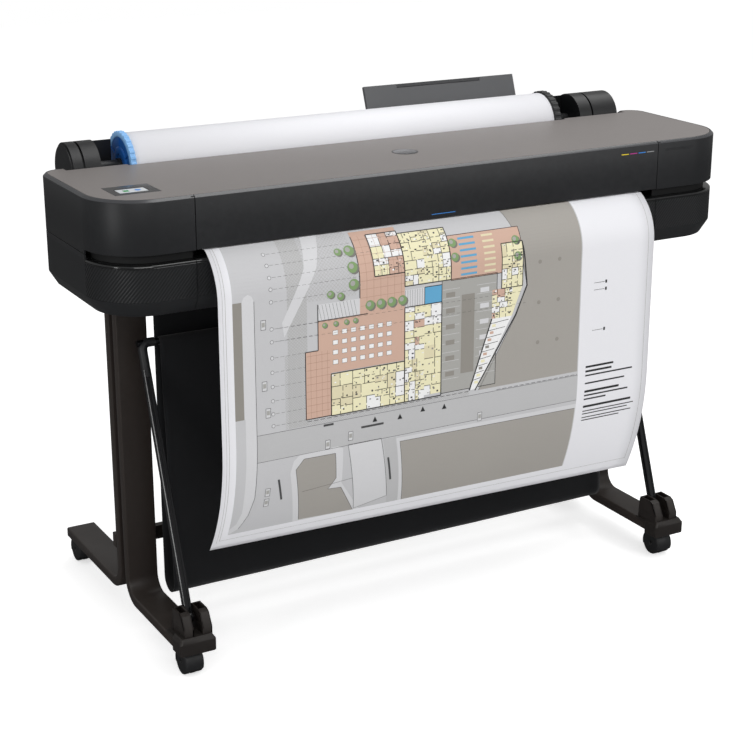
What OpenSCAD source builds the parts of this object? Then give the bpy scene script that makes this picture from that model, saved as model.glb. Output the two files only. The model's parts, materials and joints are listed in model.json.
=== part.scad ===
// Large format plotter on a stand, with a paper roll, a hanging sheet and a fabric bin.
// X runs along the roll, Y from front to back and Z up. All sizes are in millimetres.
// Places in Y are counted from the front face of the body, and from_front() moves them
// so that the middle of the footprint is the origin.

/* [Body] */
// Width across the two end covers
body_w = 1317; // [1310:1:1325]
// Depth of the end covers
body_d = 320; // [316:1:324]
// Height of the top face above the floor
top_z = 879; // [877:1:881]
// Lower edge of the upper casing
upper_z = 785; // [785:0.5:786]
// Upper edge of the lower casing
lower_z = 769; // [767:0.5:769]
// Underside of the body
bottom_z = 677; // [675:1:679]
// Radius of the front corners seen from above
corner_r = 100; // [90:1:110]
// Radius of the rear corners seen from above
rear_r = 36; // [30:1:45]
// Thickness of the moulded casings
wall = 3; // [2.5:0.1:3.5]
// Place of the left seam of the access window
seam_left = -495; // [-500:1:-490]
// Place of the right seam of the access window
seam_right = 470; // [465:1:475]

/* [Paper] */
// Width of the paper roll and of the printed sheet
paper_w = 914; // [610:1:914]
// Middle of the paper along the machine
paper_x = -24; // [-26:1:-22]
// Radius of the wound paper
paper_r = 57; // [40:1:58]
// Radius of the hub flanges
flange_r = 61; // [59:1:62]
// Place of the roll axis behind the front face
roll_y = 350; // [349:1:352]
// Height of the roll axis
roll_z = 868; // [866:1:870]
// How far the hanging sheet bulges in front of the body
bulge = 48; // [40:1:50]
// Height of the hanging sheet's lower edge
sheet_end_z = 222; // [200:1:240]

/* [Rear tray] */
// Width of the sheet tray behind the roll
tray_w = 358; // [340:1:370]
// Length of the tray from its hinge
tray_l = 100; // [90:1:105]
// How far the raised tray leans back, in degrees
tray_lean = 20; // [18:1:25]

/* [Stand] */
// Middle of each leg, left and right of the centre
leg_x = 532; // [530:1:534]
// Width of the leg bars
leg_w = 60; // [56:1:62]
// Thickness of the leg bars
leg_t = 20; // [18:1:20]
// Front face of the front post
post_y = 226; // [224:1:228]
// Underside of the feet
foot_z = 54; // [54:1:56]

/* [Bin] */
// Width of the fabric bin
bin_w = 990; // [970:1:994]
// Height of the rod along the bin's upper front edge
bin_rod_z = 573; // [560:1:580]
// Place of that rod behind the front face
bin_rod_y = 195; // [190:1:198]

/* [Hidden] */
$fn = 72;

// running clearance on a radius, and the gap left beside soft or thin pieces
fit = 0.05;
gap = 0.5;

// casings
bevel_in = 16;
bevel_up = 27;
rim = 7;
plate_t = 4;
deck_z = top_z - 8;
crease_y = 96;
side_seam_z = 777;
seam_half = 0.5;
slot_in = 14;
ledge_w = 28;
grip_in = 45;
grip_out = 13.5;
grip_up = 20;
grip_y0 = 90;
grip_y1 = 250;
ledge_t = 4;
scallop_y = 287;
scallop_left = -498;
scallop_right = 456;
notch_y = 297;
notch_x = 612;
window_t = 3.2;
window_lip = 6;
window_foot = upper_z + 1;
window_pin_y = 3;
window_pin_z = top_z - 2.8;
window_pin_r = 1.4;
window_pin_l = 6;

// inner frame
plate_x = 560;
rail_y = 205;
rail_z = 832;
rail_r = 8;
belt_y = 242;
belt_z = 838;
belt_h = 8;
belt_t = 1.2;
pulley_x = 538;
pulley_r = 8;
shaft_r = 2;
park_x = 480;
carriage_w = 90;

// paper path
sheet_t = 0.6;
sheet_z = upper_z - 1.5;
feed_y = 235;
feed_r = 12;
feed_z = sheet_z - sheet_t / 2 - 0.2 - feed_r;
feed_journal = 6;
feed_pulley_x = -580;
feed_pulley_r = 20;
feed_motor_y = 150;
feed_motor_z = 730;
feed_motor_r = 10;
feed_pulley_w = 12;
pinch_r = 8;
pinch_z = sheet_z + sheet_t / 2 + 0.3 + pinch_r;
pinch_shaft = 2.5;
path_turn = 240;

// roll and its supports
trough_r = flange_r + 4;
roll_left = paper_x - paper_w / 2;
roll_right = paper_x + paper_w / 2;
support_r = 50;
support_out = 600;
cradle_w = 46;
cradle_left = -499;
cradle_right = 457;
spindle_r = 12;
journal_r = 10;
core_r = 28;
core_t = 3;
rear_y = 424;
rear_front = body_d + 1.5;
seat_z = 804;
rear_top = 848;

// tray
tray_x = 72;
tray_t = 8;
hinge_y = 419;
hinge_z = 857;
hinge_r = 4.5;
hinge_pin = 2;
lug_w = 12;

// stand and bin
post_gap = 19;
bend_r = 50;
foot_front = -28;
foot_back = 577;
stand_top = 672.5;
tube_wall = 2;
rear_post_y = post_y + leg_t + post_gap;
brace_z = 143;
brace_h = 28;
brace_t = 16;
bracket_x = 530;
bin_arm_x = 526;
pivot_y = 24;
pivot_z = 103;
pivot_r = 5;
eye_r = 10;
arm_w = 14;
bin_rod_r = 6;
fabric_t = 2;
bin_low_z = 75;
bin_low_y = 188;
bin_back_y = 214;

// casters
wheel_r = 24.5;
wheel_w = 13;
hood_r = 27.5;
web_w = 10;
caster_trail = 12;
neck_z = 2 * wheel_r + 1.2;
stem_r = 5;
axle_r = 3;
caster_front_y = 0;
caster_rear_y = foot_back - 19;

// the footprint runs from the sheet's bulge to the rear caster hoods
front_most = -bulge - sheet_t / 2;
rear_most = caster_rear_y + caster_trail + hood_r;
front_y = -(front_most + rear_most) / 2;

charcoal = "#2b2c2e";
taupe = "#938f8d";
bronze = "#2e2926";
black = "#17181a";
steel = "#a9acb0";

// ---- shared shapes ----

module from_front() {
    translate([0, front_y, 0]) children();
}

// A drawing in the Y-Z plane, extruded along X from x0 to x1.
module along_x(x0, x1) {
    translate([x0, 0, 0]) rotate([90, 0, 90]) linear_extrude(x1 - x0) children();
}

module bar_x(x0, x1, y, z, r) {
    translate([x0, y, z]) rotate([0, 90, 0]) cylinder(h = x1 - x0, r = r);
}

module box(x0, x1, y0, y1, z0, z1) {
    translate([x0, y0, z0]) cube([x1 - x0, y1 - y0, z1 - z0]);
}

// The body's outline from above, drawn in by an equal margin.
module plan(inset) {
    half = body_w / 2 - inset;
    near = corner_r - inset;
    far = rear_r - inset;
    back = body_d - inset;
    translate([-half, inset + near]) square([2 * half, back - far - inset - near]);
    translate([-half + near, inset]) square([2 * (half - near), near]);
    translate([-half + far, back - far]) square([2 * (half - far), far]);
    for (side = [-1, 1]) {
        translate([side * (half - near), inset + near]) circle(near);
        translate([side * (half - far), back - far]) circle(far);
    }
}

module slab(z0, z1, inset) {
    translate([0, 0, z0]) linear_extrude(z1 - z0) plan(inset);
}

// Room at the back edge for the roll and for the roll supports.
module roll_room(z0, z1, margin) {
    box(scallop_left - margin, scallop_right + margin, scallop_y - margin, body_d + 1, z0, z1);
    box(-notch_x - margin, notch_x + margin, notch_y - margin, body_d + 1, z0, z1);
}

// ---- casings ----

module lower_shape(inset, foot) {
    hull() {
        slab(bottom_z + bevel_up, lower_z - foot, inset);
        slab(bottom_z + foot, bottom_z + foot + 1, bevel_in + inset);
    }
}

// A finger recess under each end, drawn larger by an equal margin for its walls.
module grip_recess(margin) {
    for (side = [0, 1]) mirror([side, 0, 0])
        box(body_w / 2 - grip_in - margin, body_w / 2 - grip_out + margin, grip_y0 - margin,
            grip_y1 + margin, bottom_z - 1, bottom_z + grip_up + margin);
}

// A band of side wall behind the crease, where the slot between the casings ends.
module side_band(z0, z1) {
    difference() {
        slab(z0, z1, 0);
        slab(z0 - 1, z1 + 1, wall);
        box(-body_w, body_w, -1, crease_y, z0 - 1, z1 + 1);
        roll_room(z0 - 1, z1 + 1, 1);
    }
}

module lower_casing() {
    color(charcoal) from_front() difference() {
        union() {
            side_band(lower_z - 1, side_seam_z - seam_half);
            difference() {
                lower_shape(0, 0);
                lower_shape(wall, wall);
                slab(lower_z - wall - 1, lower_z + 1, wall);
            }
            difference() {
                slab(lower_z - ledge_t, lower_z, 0);
                box(-body_w / 2 + ledge_w, body_w / 2 - ledge_w, ledge_w, body_d - ledge_w,
                    lower_z - ledge_t - 1, lower_z + 1);
            }
            intersection() {
                lower_shape(0, 0);
                grip_recess(wall);
            }
        }
        grip_recess(0);
    }
}

module end_shell() {
    difference() {
        slab(upper_z, top_z, 0);
        slab(upper_z - 1, deck_z, wall);
        slab(top_z - plate_t, top_z + 1, rim);
        roll_room(upper_z - 1, top_z + 1, 0);
    }
    side_band(side_seam_z + seam_half, upper_z + 1);
    // inner wall that closes the slot between the casings
    difference() {
        slab(lower_z + 0.3, upper_z + 10, slot_in);
        slab(lower_z, upper_z + 11, slot_in + wall);
        roll_room(lower_z, upper_z + 11, 4);
    }
}

module window_bore() {
    bar_x(-window_pin_l - 1, window_pin_l + 1, window_pin_y, window_pin_z, window_pin_r + fit);
}

module left_end_cover() {
    color(charcoal) from_front() difference() {
        intersection() {
            end_shell();
            box(-body_w, seam_left - 0.5, -1, body_d + 1, lower_z, top_z + 1);
        }
        translate([seam_left, 0, 0]) window_bore();
    }
}

module right_end_cover() {
    color(charcoal) from_front() difference() {
        intersection() {
            end_shell();
            box(seam_right + 0.5, body_w, -1, body_d + 1, lower_z, top_z + 1);
        }
        translate([seam_right, 0, 0]) window_bore();
    }
}

module top_plate() {
    color(taupe) from_front() difference() {
        slab(top_z - plate_t + 0.2, top_z, rim + 0.8);
        roll_room(top_z - plate_t - 1, top_z + 1, 1);
        screen_room(0.3, top_z - plate_t - 1, top_z + 1);
    }
}

module access_window() {
    color(charcoal) from_front() {
        along_x(seam_left + 0.5, seam_right - 0.5) polygon([
            [0, window_foot], [window_t, window_foot], [window_t, top_z - 7], [window_lip, top_z - 5],
            [window_lip, top_z - 1.5], [4.5, top_z], [2, top_z], [0, top_z - 2]
        ]);
        for (x = [seam_left - window_pin_l, seam_right - 1])
            bar_x(x, x + window_pin_l + 1, window_pin_y, window_pin_z, window_pin_r);
    }
}

module rear_outline() {
    difference() {
        union() {
            translate([rear_front, 700]) square([rear_y - rear_front, rear_top - 700]);
            translate([scallop_y + 3, 771.5]) square([40, rear_top - 771.5]);
        }
        translate([roll_y, roll_z]) circle(trough_r);
    }
}

module socket_room(margin) {
    box(-420 - margin, -368 + margin, rear_y - 24, rear_y + 1, 738 - margin, 768 + margin);
    box(-350 - margin, -330 + margin, rear_y - 24, rear_y + 1, 742 - margin, 764 + margin);
}

module rear_casing() {
    trough_left = scallop_left + 2;
    trough_right = scallop_right - 2;
    color(black) from_front() difference() {
        union() {
            along_x(trough_left, trough_right) rear_outline();
            box(-support_out, support_out, rear_front, rear_y, 700, seat_z - 0.5);
            for (x = [tray_x - 1, tray_x + tray_w - lug_w + 1])
                box(x, x + lug_w, hinge_y - 6, rear_y, rear_top - 4, hinge_z + 6);
        }
        box(-support_out + wall, support_out - wall, rear_front + wall, rear_y - wall, 700 + wall, 796);
        box(roll_left - 5, roll_right + 5, scallop_y, 340, 788, 815);
        bar_x(tray_x - 2, tray_x + tray_w + 2, hinge_y, hinge_z, hinge_pin + fit);
        socket_room(0.3);
    }
}

// The place of the screen in the top plate.
module screen_room(margin, z0, z1) {
    box(-612 - margin, -530 + margin, 58 - margin, 127 + margin, z0, z1);
}

module screen_bezel() {
    color(black) from_front() difference() {
        screen_room(0, top_z - plate_t + 0.4, top_z - 0.2);
        box(-598, -545, 73.5, 103.5, top_z - 1, top_z + 1);
    }
}

// ---- inner frame and print carriage ----

module side_plate(x0) {
    difference() {
        box(x0, x0 + 3, 30, 283, bottom_z + 7, deck_z - 3);
        bar_x(x0 - 1, x0 + 4, rail_y, rail_z, rail_r + fit);
        bar_x(x0 - 1, x0 + 4, feed_y, feed_z, feed_journal + fit);
        bar_x(x0 - 1, x0 + 4, feed_motor_y, feed_motor_z, shaft_r + 0.5);
    }
}

module side_plates() {
    color(steel) from_front() {
        side_plate(plate_x);
        side_plate(-plate_x - 3);
        // bearing block of the idler pulley
        difference() {
            box(-plate_x, -pulley_x + 14, belt_y - 11, belt_y + 11, 812, 834);
            translate([-pulley_x, belt_y, 811]) cylinder(h = 24, r = shaft_r + fit);
        }
    }
}

module chassis_beam() {
    color(steel) from_front() difference() {
        box(-plate_x + gap, plate_x - gap, 262, 284, 812, 862);
        box(-plate_x, plate_x, 260, 281, 815, 859);
    }
}

module carriage_rail() {
    color("silver") from_front() bar_x(-plate_x - 6, plate_x + 6, rail_y, rail_z, rail_r);
}

module encoder_strip() {
    color("gray") from_front() box(-plate_x + 2, pulley_x - 16, 228.5, 229, 815, 825);
}

module carriage() {
    left = park_x - carriage_w / 2;
    color(black) from_front() difference() {
        union() {
            box(left, left + carriage_w, 70, 224, 794, 862);
            box(park_x - 12, park_x + 12, 223, belt_y - pulley_r - belt_t - 0.3, belt_z, belt_z + belt_h);
        }
        bar_x(left - 1, left + carriage_w + 1, rail_y, rail_z, rail_r + fit);
        box(left + 12, left + carriage_w - 12, 88, 162, 793, 816);
    }
}

module printhead() {
    color("dimgray") from_front() {
        box(park_x - 31, park_x + 31, 90, 160, 792, 815);
        box(park_x - 22, park_x + 22, 98, 152, 787.5, 792);
    }
}

module loop_outline(length, radius) {
    hull() {
        circle(radius);
        translate([length, 0]) circle(radius);
    }
}

module carriage_belt() {
    color(black) from_front() translate([-pulley_x, belt_y, belt_z + 1])
        linear_extrude(belt_h - 2) difference() {
            loop_outline(2 * pulley_x, pulley_r + belt_t);
            loop_outline(2 * pulley_x, pulley_r + 0.15);
        }
}

module belt_pulley(x) {
    color("gainsboro") from_front() translate([x, belt_y, 0]) {
        translate([0, 0, belt_z]) cylinder(h = belt_h, r = pulley_r);
        for (z = [belt_z - 1.5, belt_z + belt_h])
            translate([0, 0, z]) cylinder(h = 1.5, r = pulley_r + 2);
        translate([0, 0, belt_z - 22]) cylinder(h = 22, r = shaft_r);
    }
}

module carriage_pulley() {
    belt_pulley(pulley_x);
}

module idler_pulley() {
    belt_pulley(-pulley_x);
}

module drive_motors() {
    color("#555a60") from_front() {
        difference() {
            translate([pulley_x, belt_y, 796]) cylinder(h = 38, r = 15);
            translate([pulley_x, belt_y, 812]) cylinder(h = 24, r = shaft_r + fit);
        }
        difference() {
            bar_x(-plate_x + gap, -plate_x + 40, feed_motor_y, feed_motor_z, 18);
            bar_x(-plate_x - 1, -plate_x + 26, feed_motor_y, feed_motor_z, shaft_r + fit);
        }
    }
}

module service_station() {
    color("dimgray") from_front() difference() {
        box(446, 514, 80, 185, 700, 779);
        box(452, 508, 86, 179, 755, 780);
    }
}

module ink_cartridges() {
    colours = ["gold", "deeppink", "deepskyblue", "#222222"];
    from_front() for (i = [0:3])
        color(colours[i]) box(384 + i * 20.5, 402 + i * 20.5, 9, 62, 792, 866);
}

module main_board() {
    color("darkgreen") from_front() {
        box(-420, -160, 60, 240, 690, 692);
        box(-400, -360, 80, 120, 692, 699);
        box(-300, -250, 140, 190, 692, 696);
        box(-215, -175, 90, 210, 692, 704);
    }
}

module power_supply() {
    color("silver") from_front() box(100, 300, 60, 200, bottom_z + 7, 735);
}

module rear_sockets() {
    color(black) from_front() difference() {
        socket_room(0);
        box(-413, -375, rear_y - 14, rear_y + 2, 743, 763);
        box(-347, -333, rear_y - 14, rear_y + 2, 746, 760);
        box(-430, -320, rear_y - 0.5, rear_y + 2, 730, 780);
    }
}

// ---- paper path ----

module platen() {
    color("#444444") from_front() {
        box(roll_left - 3, roll_right + 3, 40, 215, sheet_z - 7, sheet_z - sheet_t / 2 - 0.3);
        for (y = [60, 120, 180])
            box(roll_left - 3, roll_right + 3, y, y + 6, sheet_z - 22, sheet_z - 7);
    }
}

module feed_roller() {
    color("#333333") from_front() {
        bar_x(-plate_x + 6, plate_x - 6, feed_y, feed_z, feed_r);
        bar_x(-plate_x - 8, plate_x + 7, feed_y, feed_z, feed_journal);
        bar_x(feed_pulley_x, feed_pulley_x + feed_pulley_w, feed_y, feed_z, feed_pulley_r);
    }
}

// The belt's outline in the Y-Z plane, around both feed pulleys.
module feed_loop(margin) {
    hull() {
        translate([feed_y, feed_z]) circle(feed_pulley_r + margin);
        translate([feed_motor_y, feed_motor_z]) circle(feed_motor_r + margin);
    }
}

module feed_belt() {
    color(black) from_front() along_x(feed_pulley_x + 2, feed_pulley_x + feed_pulley_w - 2)
        difference() {
            feed_loop(belt_t);
            feed_loop(0.15);
        }
}

module feed_motor_pulley() {
    color("gainsboro") from_front() {
        bar_x(feed_pulley_x, feed_pulley_x + feed_pulley_w, feed_motor_y, feed_motor_z, feed_motor_r);
        bar_x(feed_pulley_x, -plate_x + 25, feed_motor_y, feed_motor_z, shaft_r);
    }
}

pinch_count = 8;
pinch_step = paper_w / pinch_count;
function pinch_at(i) = roll_left + pinch_step * (i + 0.5);

module pinch_rollers() {
    color("gray") from_front() {
        for (i = [0:pinch_count - 1])
            bar_x(pinch_at(i) - 25, pinch_at(i) + 25, feed_y, pinch_z, pinch_r);
        bar_x(pinch_at(0) - 36, pinch_at(pinch_count - 1) + 36, feed_y, pinch_z, pinch_shaft);
    }
}

module pinch_arms() {
    color("dimgray") from_front() difference() {
        union() {
            box(pinch_at(0) - 40, pinch_at(pinch_count - 1) + 40, 247, 261.5, 800, 811);
            for (i = [0:pinch_count - 1], side = [-32, 28])
                box(pinch_at(i) + side, pinch_at(i) + side + 4, feed_y - 5, 248, pinch_z - 5, 806);
        }
        bar_x(roll_left - 20, roll_right + 20, feed_y, pinch_z, pinch_shaft + fit);
    }
}

// The web leaves the roll along the tangent that runs to the turn above the feed roller.
web_dy = roll_y - path_turn;
web_dz = roll_z - sheet_z;
web_r = paper_r + gap + sheet_t / 2;
web_d = sqrt(web_dy * web_dy + web_dz * web_dz);
web_angle = atan2(-web_dz, -web_dy) + acos(web_r / web_d);
web_start = [roll_y + web_r * cos(web_angle), roll_z + web_r * sin(web_angle)];

// The sheet tips over the ledge at 30 degrees and turns down in one large arc.
exit_angle = 30;
turn_r = bulge / (1 - sin(exit_angle));
hang_z = sheet_z - turn_r * cos(exit_angle);
curl_z = 440;
curl_in = 65;
curl_h = curl_z - sheet_end_z;
curl_a = 2 * atan(curl_in / curl_h);
curl_r = curl_h / sin(curl_a);
arc_steps = 12;
sheet_path = concat(
    [web_start, [path_turn, sheet_z]],
    [for (i = [0:arc_steps]) let (a = exit_angle + (90 - exit_angle) * i / arc_steps)
        [-turn_r * (sin(a) - sin(exit_angle)), sheet_z - turn_r * (cos(exit_angle) - cos(a))]],
    [for (i = [0:arc_steps]) let (a = curl_a * i / arc_steps)
        [-bulge + curl_r * (1 - cos(a)), curl_z - curl_r * sin(a)]]
);
path_last = len(sheet_path) - 1;
function along(i) = let (
    before = sheet_path[max(i - 1, 0)],
    after = sheet_path[min(i + 1, path_last)],
    step = after - before
) step / norm(step);
function beside(i, side) = sheet_path[i] + side * sheet_t / 2 * [-along(i)[1], along(i)[0]];

module printed_sheet() {
    color("whitesmoke") from_front() along_x(roll_left, roll_right) polygon(concat(
        [for (i = [0:path_last]) beside(i, 1)],
        [for (i = [path_last:-1:0]) beside(i, -1)]
    ));
}

// ---- roll and its supports ----

// One support, with its open cradle towards the paper. It is drawn on the left side.
module roll_support(out, inner) {
    cradle = inner - cradle_w;
    difference() {
        union() {
            bar_x(out, out + 3, roll_y, roll_z, support_r - 4);
            bar_x(out + 2.9, cradle - 34, roll_y, roll_z, support_r);
            bar_x(cradle - 35, cradle - 29, roll_y, roll_z, support_r - 5);
            bar_x(cradle - 30, inner, roll_y, roll_z, support_r);
            box(out + 6, inner, roll_y - 26, roll_y + 34, seat_z, roll_z - 20);
        }
        bar_x(cradle, inner + 1, roll_y, roll_z, journal_r + fit);
        box(cradle, inner + 1, roll_y - support_r - 1, roll_y + 24, roll_z, roll_z + support_r + 1);
        box(cradle + 3, inner + 1, roll_y - journal_r, roll_y + journal_r, roll_z + journal_r + fit,
            roll_z + support_r + 1);
    }
}

module left_roll_support() {
    color(black) from_front() roll_support(-support_out, cradle_left);
}

module right_roll_support() {
    color(black) from_front() mirror([1, 0, 0]) roll_support(-support_out, -cradle_right);
}

module spindle() {
    color("dimgray") from_front() {
        bar_x(cradle_left + 2, cradle_right - 2, roll_y, roll_z, spindle_r);
        bar_x(cradle_left - cradle_w + 1, cradle_right + cradle_w - 1, roll_y, roll_z, journal_r);
    }
}

module ring_x(x0, x1, outer, inner) {
    difference() {
        bar_x(x0, x1, roll_y, roll_z, outer);
        bar_x(x0 - 1, x1 + 1, roll_y, roll_z, inner);
    }
}

module roll_core() {
    color("burlywood") from_front() ring_x(roll_left, roll_right, core_r, core_r - core_t);
}

module roll_paper() {
    color("white") from_front() ring_x(roll_left, roll_right, paper_r, core_r + 0.2);
}

// A flange with a notched rim, and a plug that holds the core.
module hub(flange_0, flange_1, plug_0, plug_1) {
    notches = 48;
    difference() {
        union() {
            bar_x(flange_0, flange_1, roll_y, roll_z, flange_r);
            bar_x(plug_0, plug_1, roll_y, roll_z, core_r - core_t - 0.2);
        }
        bar_x(min(flange_0, plug_0) - 1, max(flange_1, plug_1) + 1, roll_y, roll_z, spindle_r + fit);
        for (i = [0:notches - 1])
            translate([flange_0 - 1, roll_y, roll_z]) rotate([i * 360 / notches, 0, 0])
                translate([0, flange_r - 1.6, -1.2]) cube([flange_1 - flange_0 + 2, 4, 2.4]);
    }
}

module left_hub() {
    color("dodgerblue") from_front() hub(roll_left - 12, roll_left - 0.3, roll_left - 1, roll_left + 40);
}

module right_hub() {
    color(black) from_front() hub(roll_right + 0.3, roll_right + 16, roll_right - 40, roll_right + 1);
}

// ---- rear tray ----

module at_tray() {
    from_front() translate([tray_x, hinge_y, hinge_z]) rotate([-tray_lean, 0, 0]) children();
}

module rear_tray() {
    inner_w = tray_w - 2 * lug_w;
    color("#6a6a6b") at_tray() difference() {
        union() {
            translate([lug_w, -tray_t / 2, 0]) cube([inner_w, tray_t, 12]);
            translate([0, -tray_t / 2, 11]) cube([tray_w, tray_t, tray_l - 11]);
            bar_x(lug_w, lug_w + inner_w, 0, 0, hinge_r);
            bar_x(2, tray_w - 2, 0, 0, hinge_pin);
        }
        translate([75, -1.8, 30]) cube([200, 3.6, tray_l]);
        translate([75, -tray_t / 2 - 1, tray_l - 8]) cube([200, tray_t + 2, 10]);
    }
}

module tray_extension() {
    color("#4c4c4e") at_tray() {
        translate([75.5, -1.5, 34]) cube([199, 3, tray_l - 36]);
        translate([75.5, -3.6, tray_l - 7]) cube([199, 7.2, 7]);
    }
}

// ---- stand ----

// One bar bent into a J, drawn in the Y-Z plane. The bend goes towards +Y.
module bent_bar(post, end, inset, top) {
    turn_y = post + bend_r;
    turn_z = foot_z + bend_r;
    translate([post + inset, turn_z]) square([leg_t - 2 * inset, top - turn_z]);
    translate([turn_y, foot_z + inset]) square([end - turn_y, leg_t - 2 * inset]);
    intersection() {
        translate([post, foot_z]) square([bend_r, bend_r]);
        difference() {
            translate([turn_y, turn_z]) circle(bend_r - inset);
            translate([turn_y, turn_z]) circle(bend_r - leg_t + inset);
        }
    }
}

module bent_tube(post, end, stem) {
    difference() {
        along_x(-leg_w / 2, leg_w / 2) bent_bar(post, end, 0, stand_top);
        along_x(-leg_w / 2 + tube_wall, leg_w / 2 - tube_wall)
            bent_bar(post, end - tube_wall, tube_wall, stand_top + 1);
        translate([0, stem, foot_z - 1]) cylinder(h = tube_wall + 2, r = stem_r + fit);
    }
}

module rear_post(x) {
    color(bronze) from_front() translate([x, 0, 0]) bent_tube(rear_post_y, foot_back, caster_rear_y);
}

module front_post(x) {
    color(bronze) from_front() translate([x, 0, 0]) mirror([0, 1, 0])
        bent_tube(-post_y - leg_t, -foot_front, -caster_front_y);
}

module left_front_post() {
    front_post(-leg_x);
}

module left_rear_post() {
    rear_post(-leg_x);
}

module right_front_post() {
    front_post(leg_x);
}

module right_rear_post() {
    rear_post(leg_x);
}

module stand_brackets() {
    color(bronze) from_front() for (side = [-1, 1]) translate([side * leg_x, 0, 0]) {
        box(-45, 45, post_y - 10, rear_post_y + leg_t + 10, stand_top + 0.2, bottom_z - 0.3);
        for (z = [140, 400, 640])
            box(-20, 20, post_y + leg_t + 0.1, rear_post_y - 0.1, z, z + 30);
    }
}

brace_y = rear_post_y + leg_t + 0.1;
screw_x = [-leg_x - 17, -leg_x + 17, leg_x - 17, leg_x + 17];

module cross_brace() {
    half = leg_x + leg_w / 2;
    color(bronze) from_front() difference() {
        box(-half, half, brace_y, brace_y + brace_t, brace_z, brace_z + brace_h);
        for (x = screw_x)
            translate([x, brace_y - 1, brace_z + brace_h / 2]) rotate([-90, 0, 0])
                cylinder(h = brace_t + 2, r = 4.3);
    }
}

module stand_screws() {
    color(steel) from_front() for (x = screw_x)
        translate([x, brace_y + 0.2, brace_z + brace_h / 2]) rotate([-90, 0, 0]) {
            cylinder(h = brace_t, r = 4);
            translate([0, 0, brace_t]) cylinder(h = 4, r = 7);
        }
}

// ---- bin ----

// A bracket on a front foot, with two ears that hold the arm's pivot pin.
module arm_bracket(x, arm) {
    top = foot_z + leg_t + 0.1;
    color(bronze) from_front() {
        box(x - 41, x + 41, foot_front + 1, 46, top, top + 12);
        box(x - 34, x + 34, foot_front + 8, 40, top + 12, top + 18);
        for (ear = [-24, 24])
            along_x(arm + ear - 5, arm + ear + 5) polygon([
                [-14, top + 17], [34, top + 17], [38, pivot_z + 4], [33, pivot_z + 20],
                [16, pivot_z + 24], [2, pivot_z + 10], [-12, top + 24]
            ]);
        bar_x(arm - 25, arm + 25, pivot_y, pivot_z, pivot_r);
    }
}

module left_arm_bracket() {
    arm_bracket(-bracket_x, -bin_arm_x);
}

module right_arm_bracket() {
    arm_bracket(bracket_x, bin_arm_x);
}

arm_rise = bin_rod_z - pivot_z;
arm_run = bin_rod_y - pivot_y;
arm_lean = atan2(arm_run, arm_rise);
arm_l = sqrt(arm_rise * arm_rise + arm_run * arm_run);

// A grooved arm with an eye on the pivot pin and a moulded elbow around the rod's end.
module bin_arm(side) {
    color(black) from_front() translate([side * bin_arm_x, pivot_y, pivot_z]) rotate([-arm_lean, 0, 0])
        difference() {
            union() {
                bar_x(-arm_w / 2, arm_w / 2, 0, 0, eye_r);
                translate([-arm_w / 2, -arm_w / 2, 8]) cube([arm_w, arm_w, arm_l - 30]);
                translate([-arm_w / 2 - 1.5, -arm_w / 2 - 1.5, arm_l - 52]) cube([arm_w + 3, arm_w + 3, 50]);
                bar_x(-arm_w / 2 - 1.5, arm_w / 2 + 1.5, 0, arm_l, 11);
            }
            bar_x(-20, 20, 0, 0, pivot_r + fit);
            bar_x(-20, 20, 0, arm_l, bin_rod_r + 0.1);
            for (face = [-1, 1])
                translate([face * arm_w / 2, 0, 20]) translate([-1.2, -2, 0]) cube([2.4, 4, arm_l - 80]);
        }
}

module left_bin_arm() {
    bin_arm(-1);
}

module right_bin_arm() {
    bin_arm(1);
}

module bin_top_rod() {
    half = bin_arm_x + arm_w / 2 + 2;
    color("#333333") from_front() bar_x(-half, half, bin_rod_y, bin_rod_z, bin_rod_r);
}

// Both halves of the sling meet at its lowest line, and each bends around the bottom.
bin_half = bin_w / 2;
bin_turn_front = 20;
bin_turn_back = bin_back_y + fabric_t - bin_low_y;

module bin_front_fabric() {
    hem = bin_rod_r + gap;
    low_y = bin_low_y - bin_turn_front;
    low_z = bin_low_z + bin_turn_front;
    color(black) from_front() {
        ring_hem();
        along_x(-bin_half, bin_half) {
            polygon([
                [low_y, low_z], [low_y + fabric_t, low_z],
                [bin_rod_y - hem, bin_rod_z], [bin_rod_y - hem - fabric_t, bin_rod_z]
            ]);
            intersection() {
                translate([low_y, bin_low_z]) square([bin_turn_front - 1.5, bin_turn_front + 0.1]);
                difference() {
                    translate([bin_low_y, low_z]) circle(bin_turn_front);
                    translate([bin_low_y, low_z]) circle(bin_turn_front - fabric_t);
                }
            }
        }
    }
}

module ring_hem() {
    hem = bin_rod_r + gap;
    difference() {
        bar_x(-bin_half, bin_half, bin_rod_y, bin_rod_z, hem + fabric_t);
        bar_x(-bin_half - 1, bin_half + 1, bin_rod_y, bin_rod_z, hem);
    }
}

module bin_back_fabric() {
    turn_z = bin_low_z + bin_turn_back;
    color(black) from_front() along_x(-bin_half, bin_half) {
        translate([bin_back_y, turn_z]) square([fabric_t, 640 - turn_z]);
        intersection() {
            translate([bin_low_y + 1.5, bin_low_z]) square([bin_turn_back, bin_turn_back + 0.1]);
            difference() {
                translate([bin_low_y, turn_z]) circle(bin_turn_back);
                translate([bin_low_y, turn_z]) circle(bin_turn_back - fabric_t);
            }
        }
    }
}

// ---- casters ----

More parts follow.
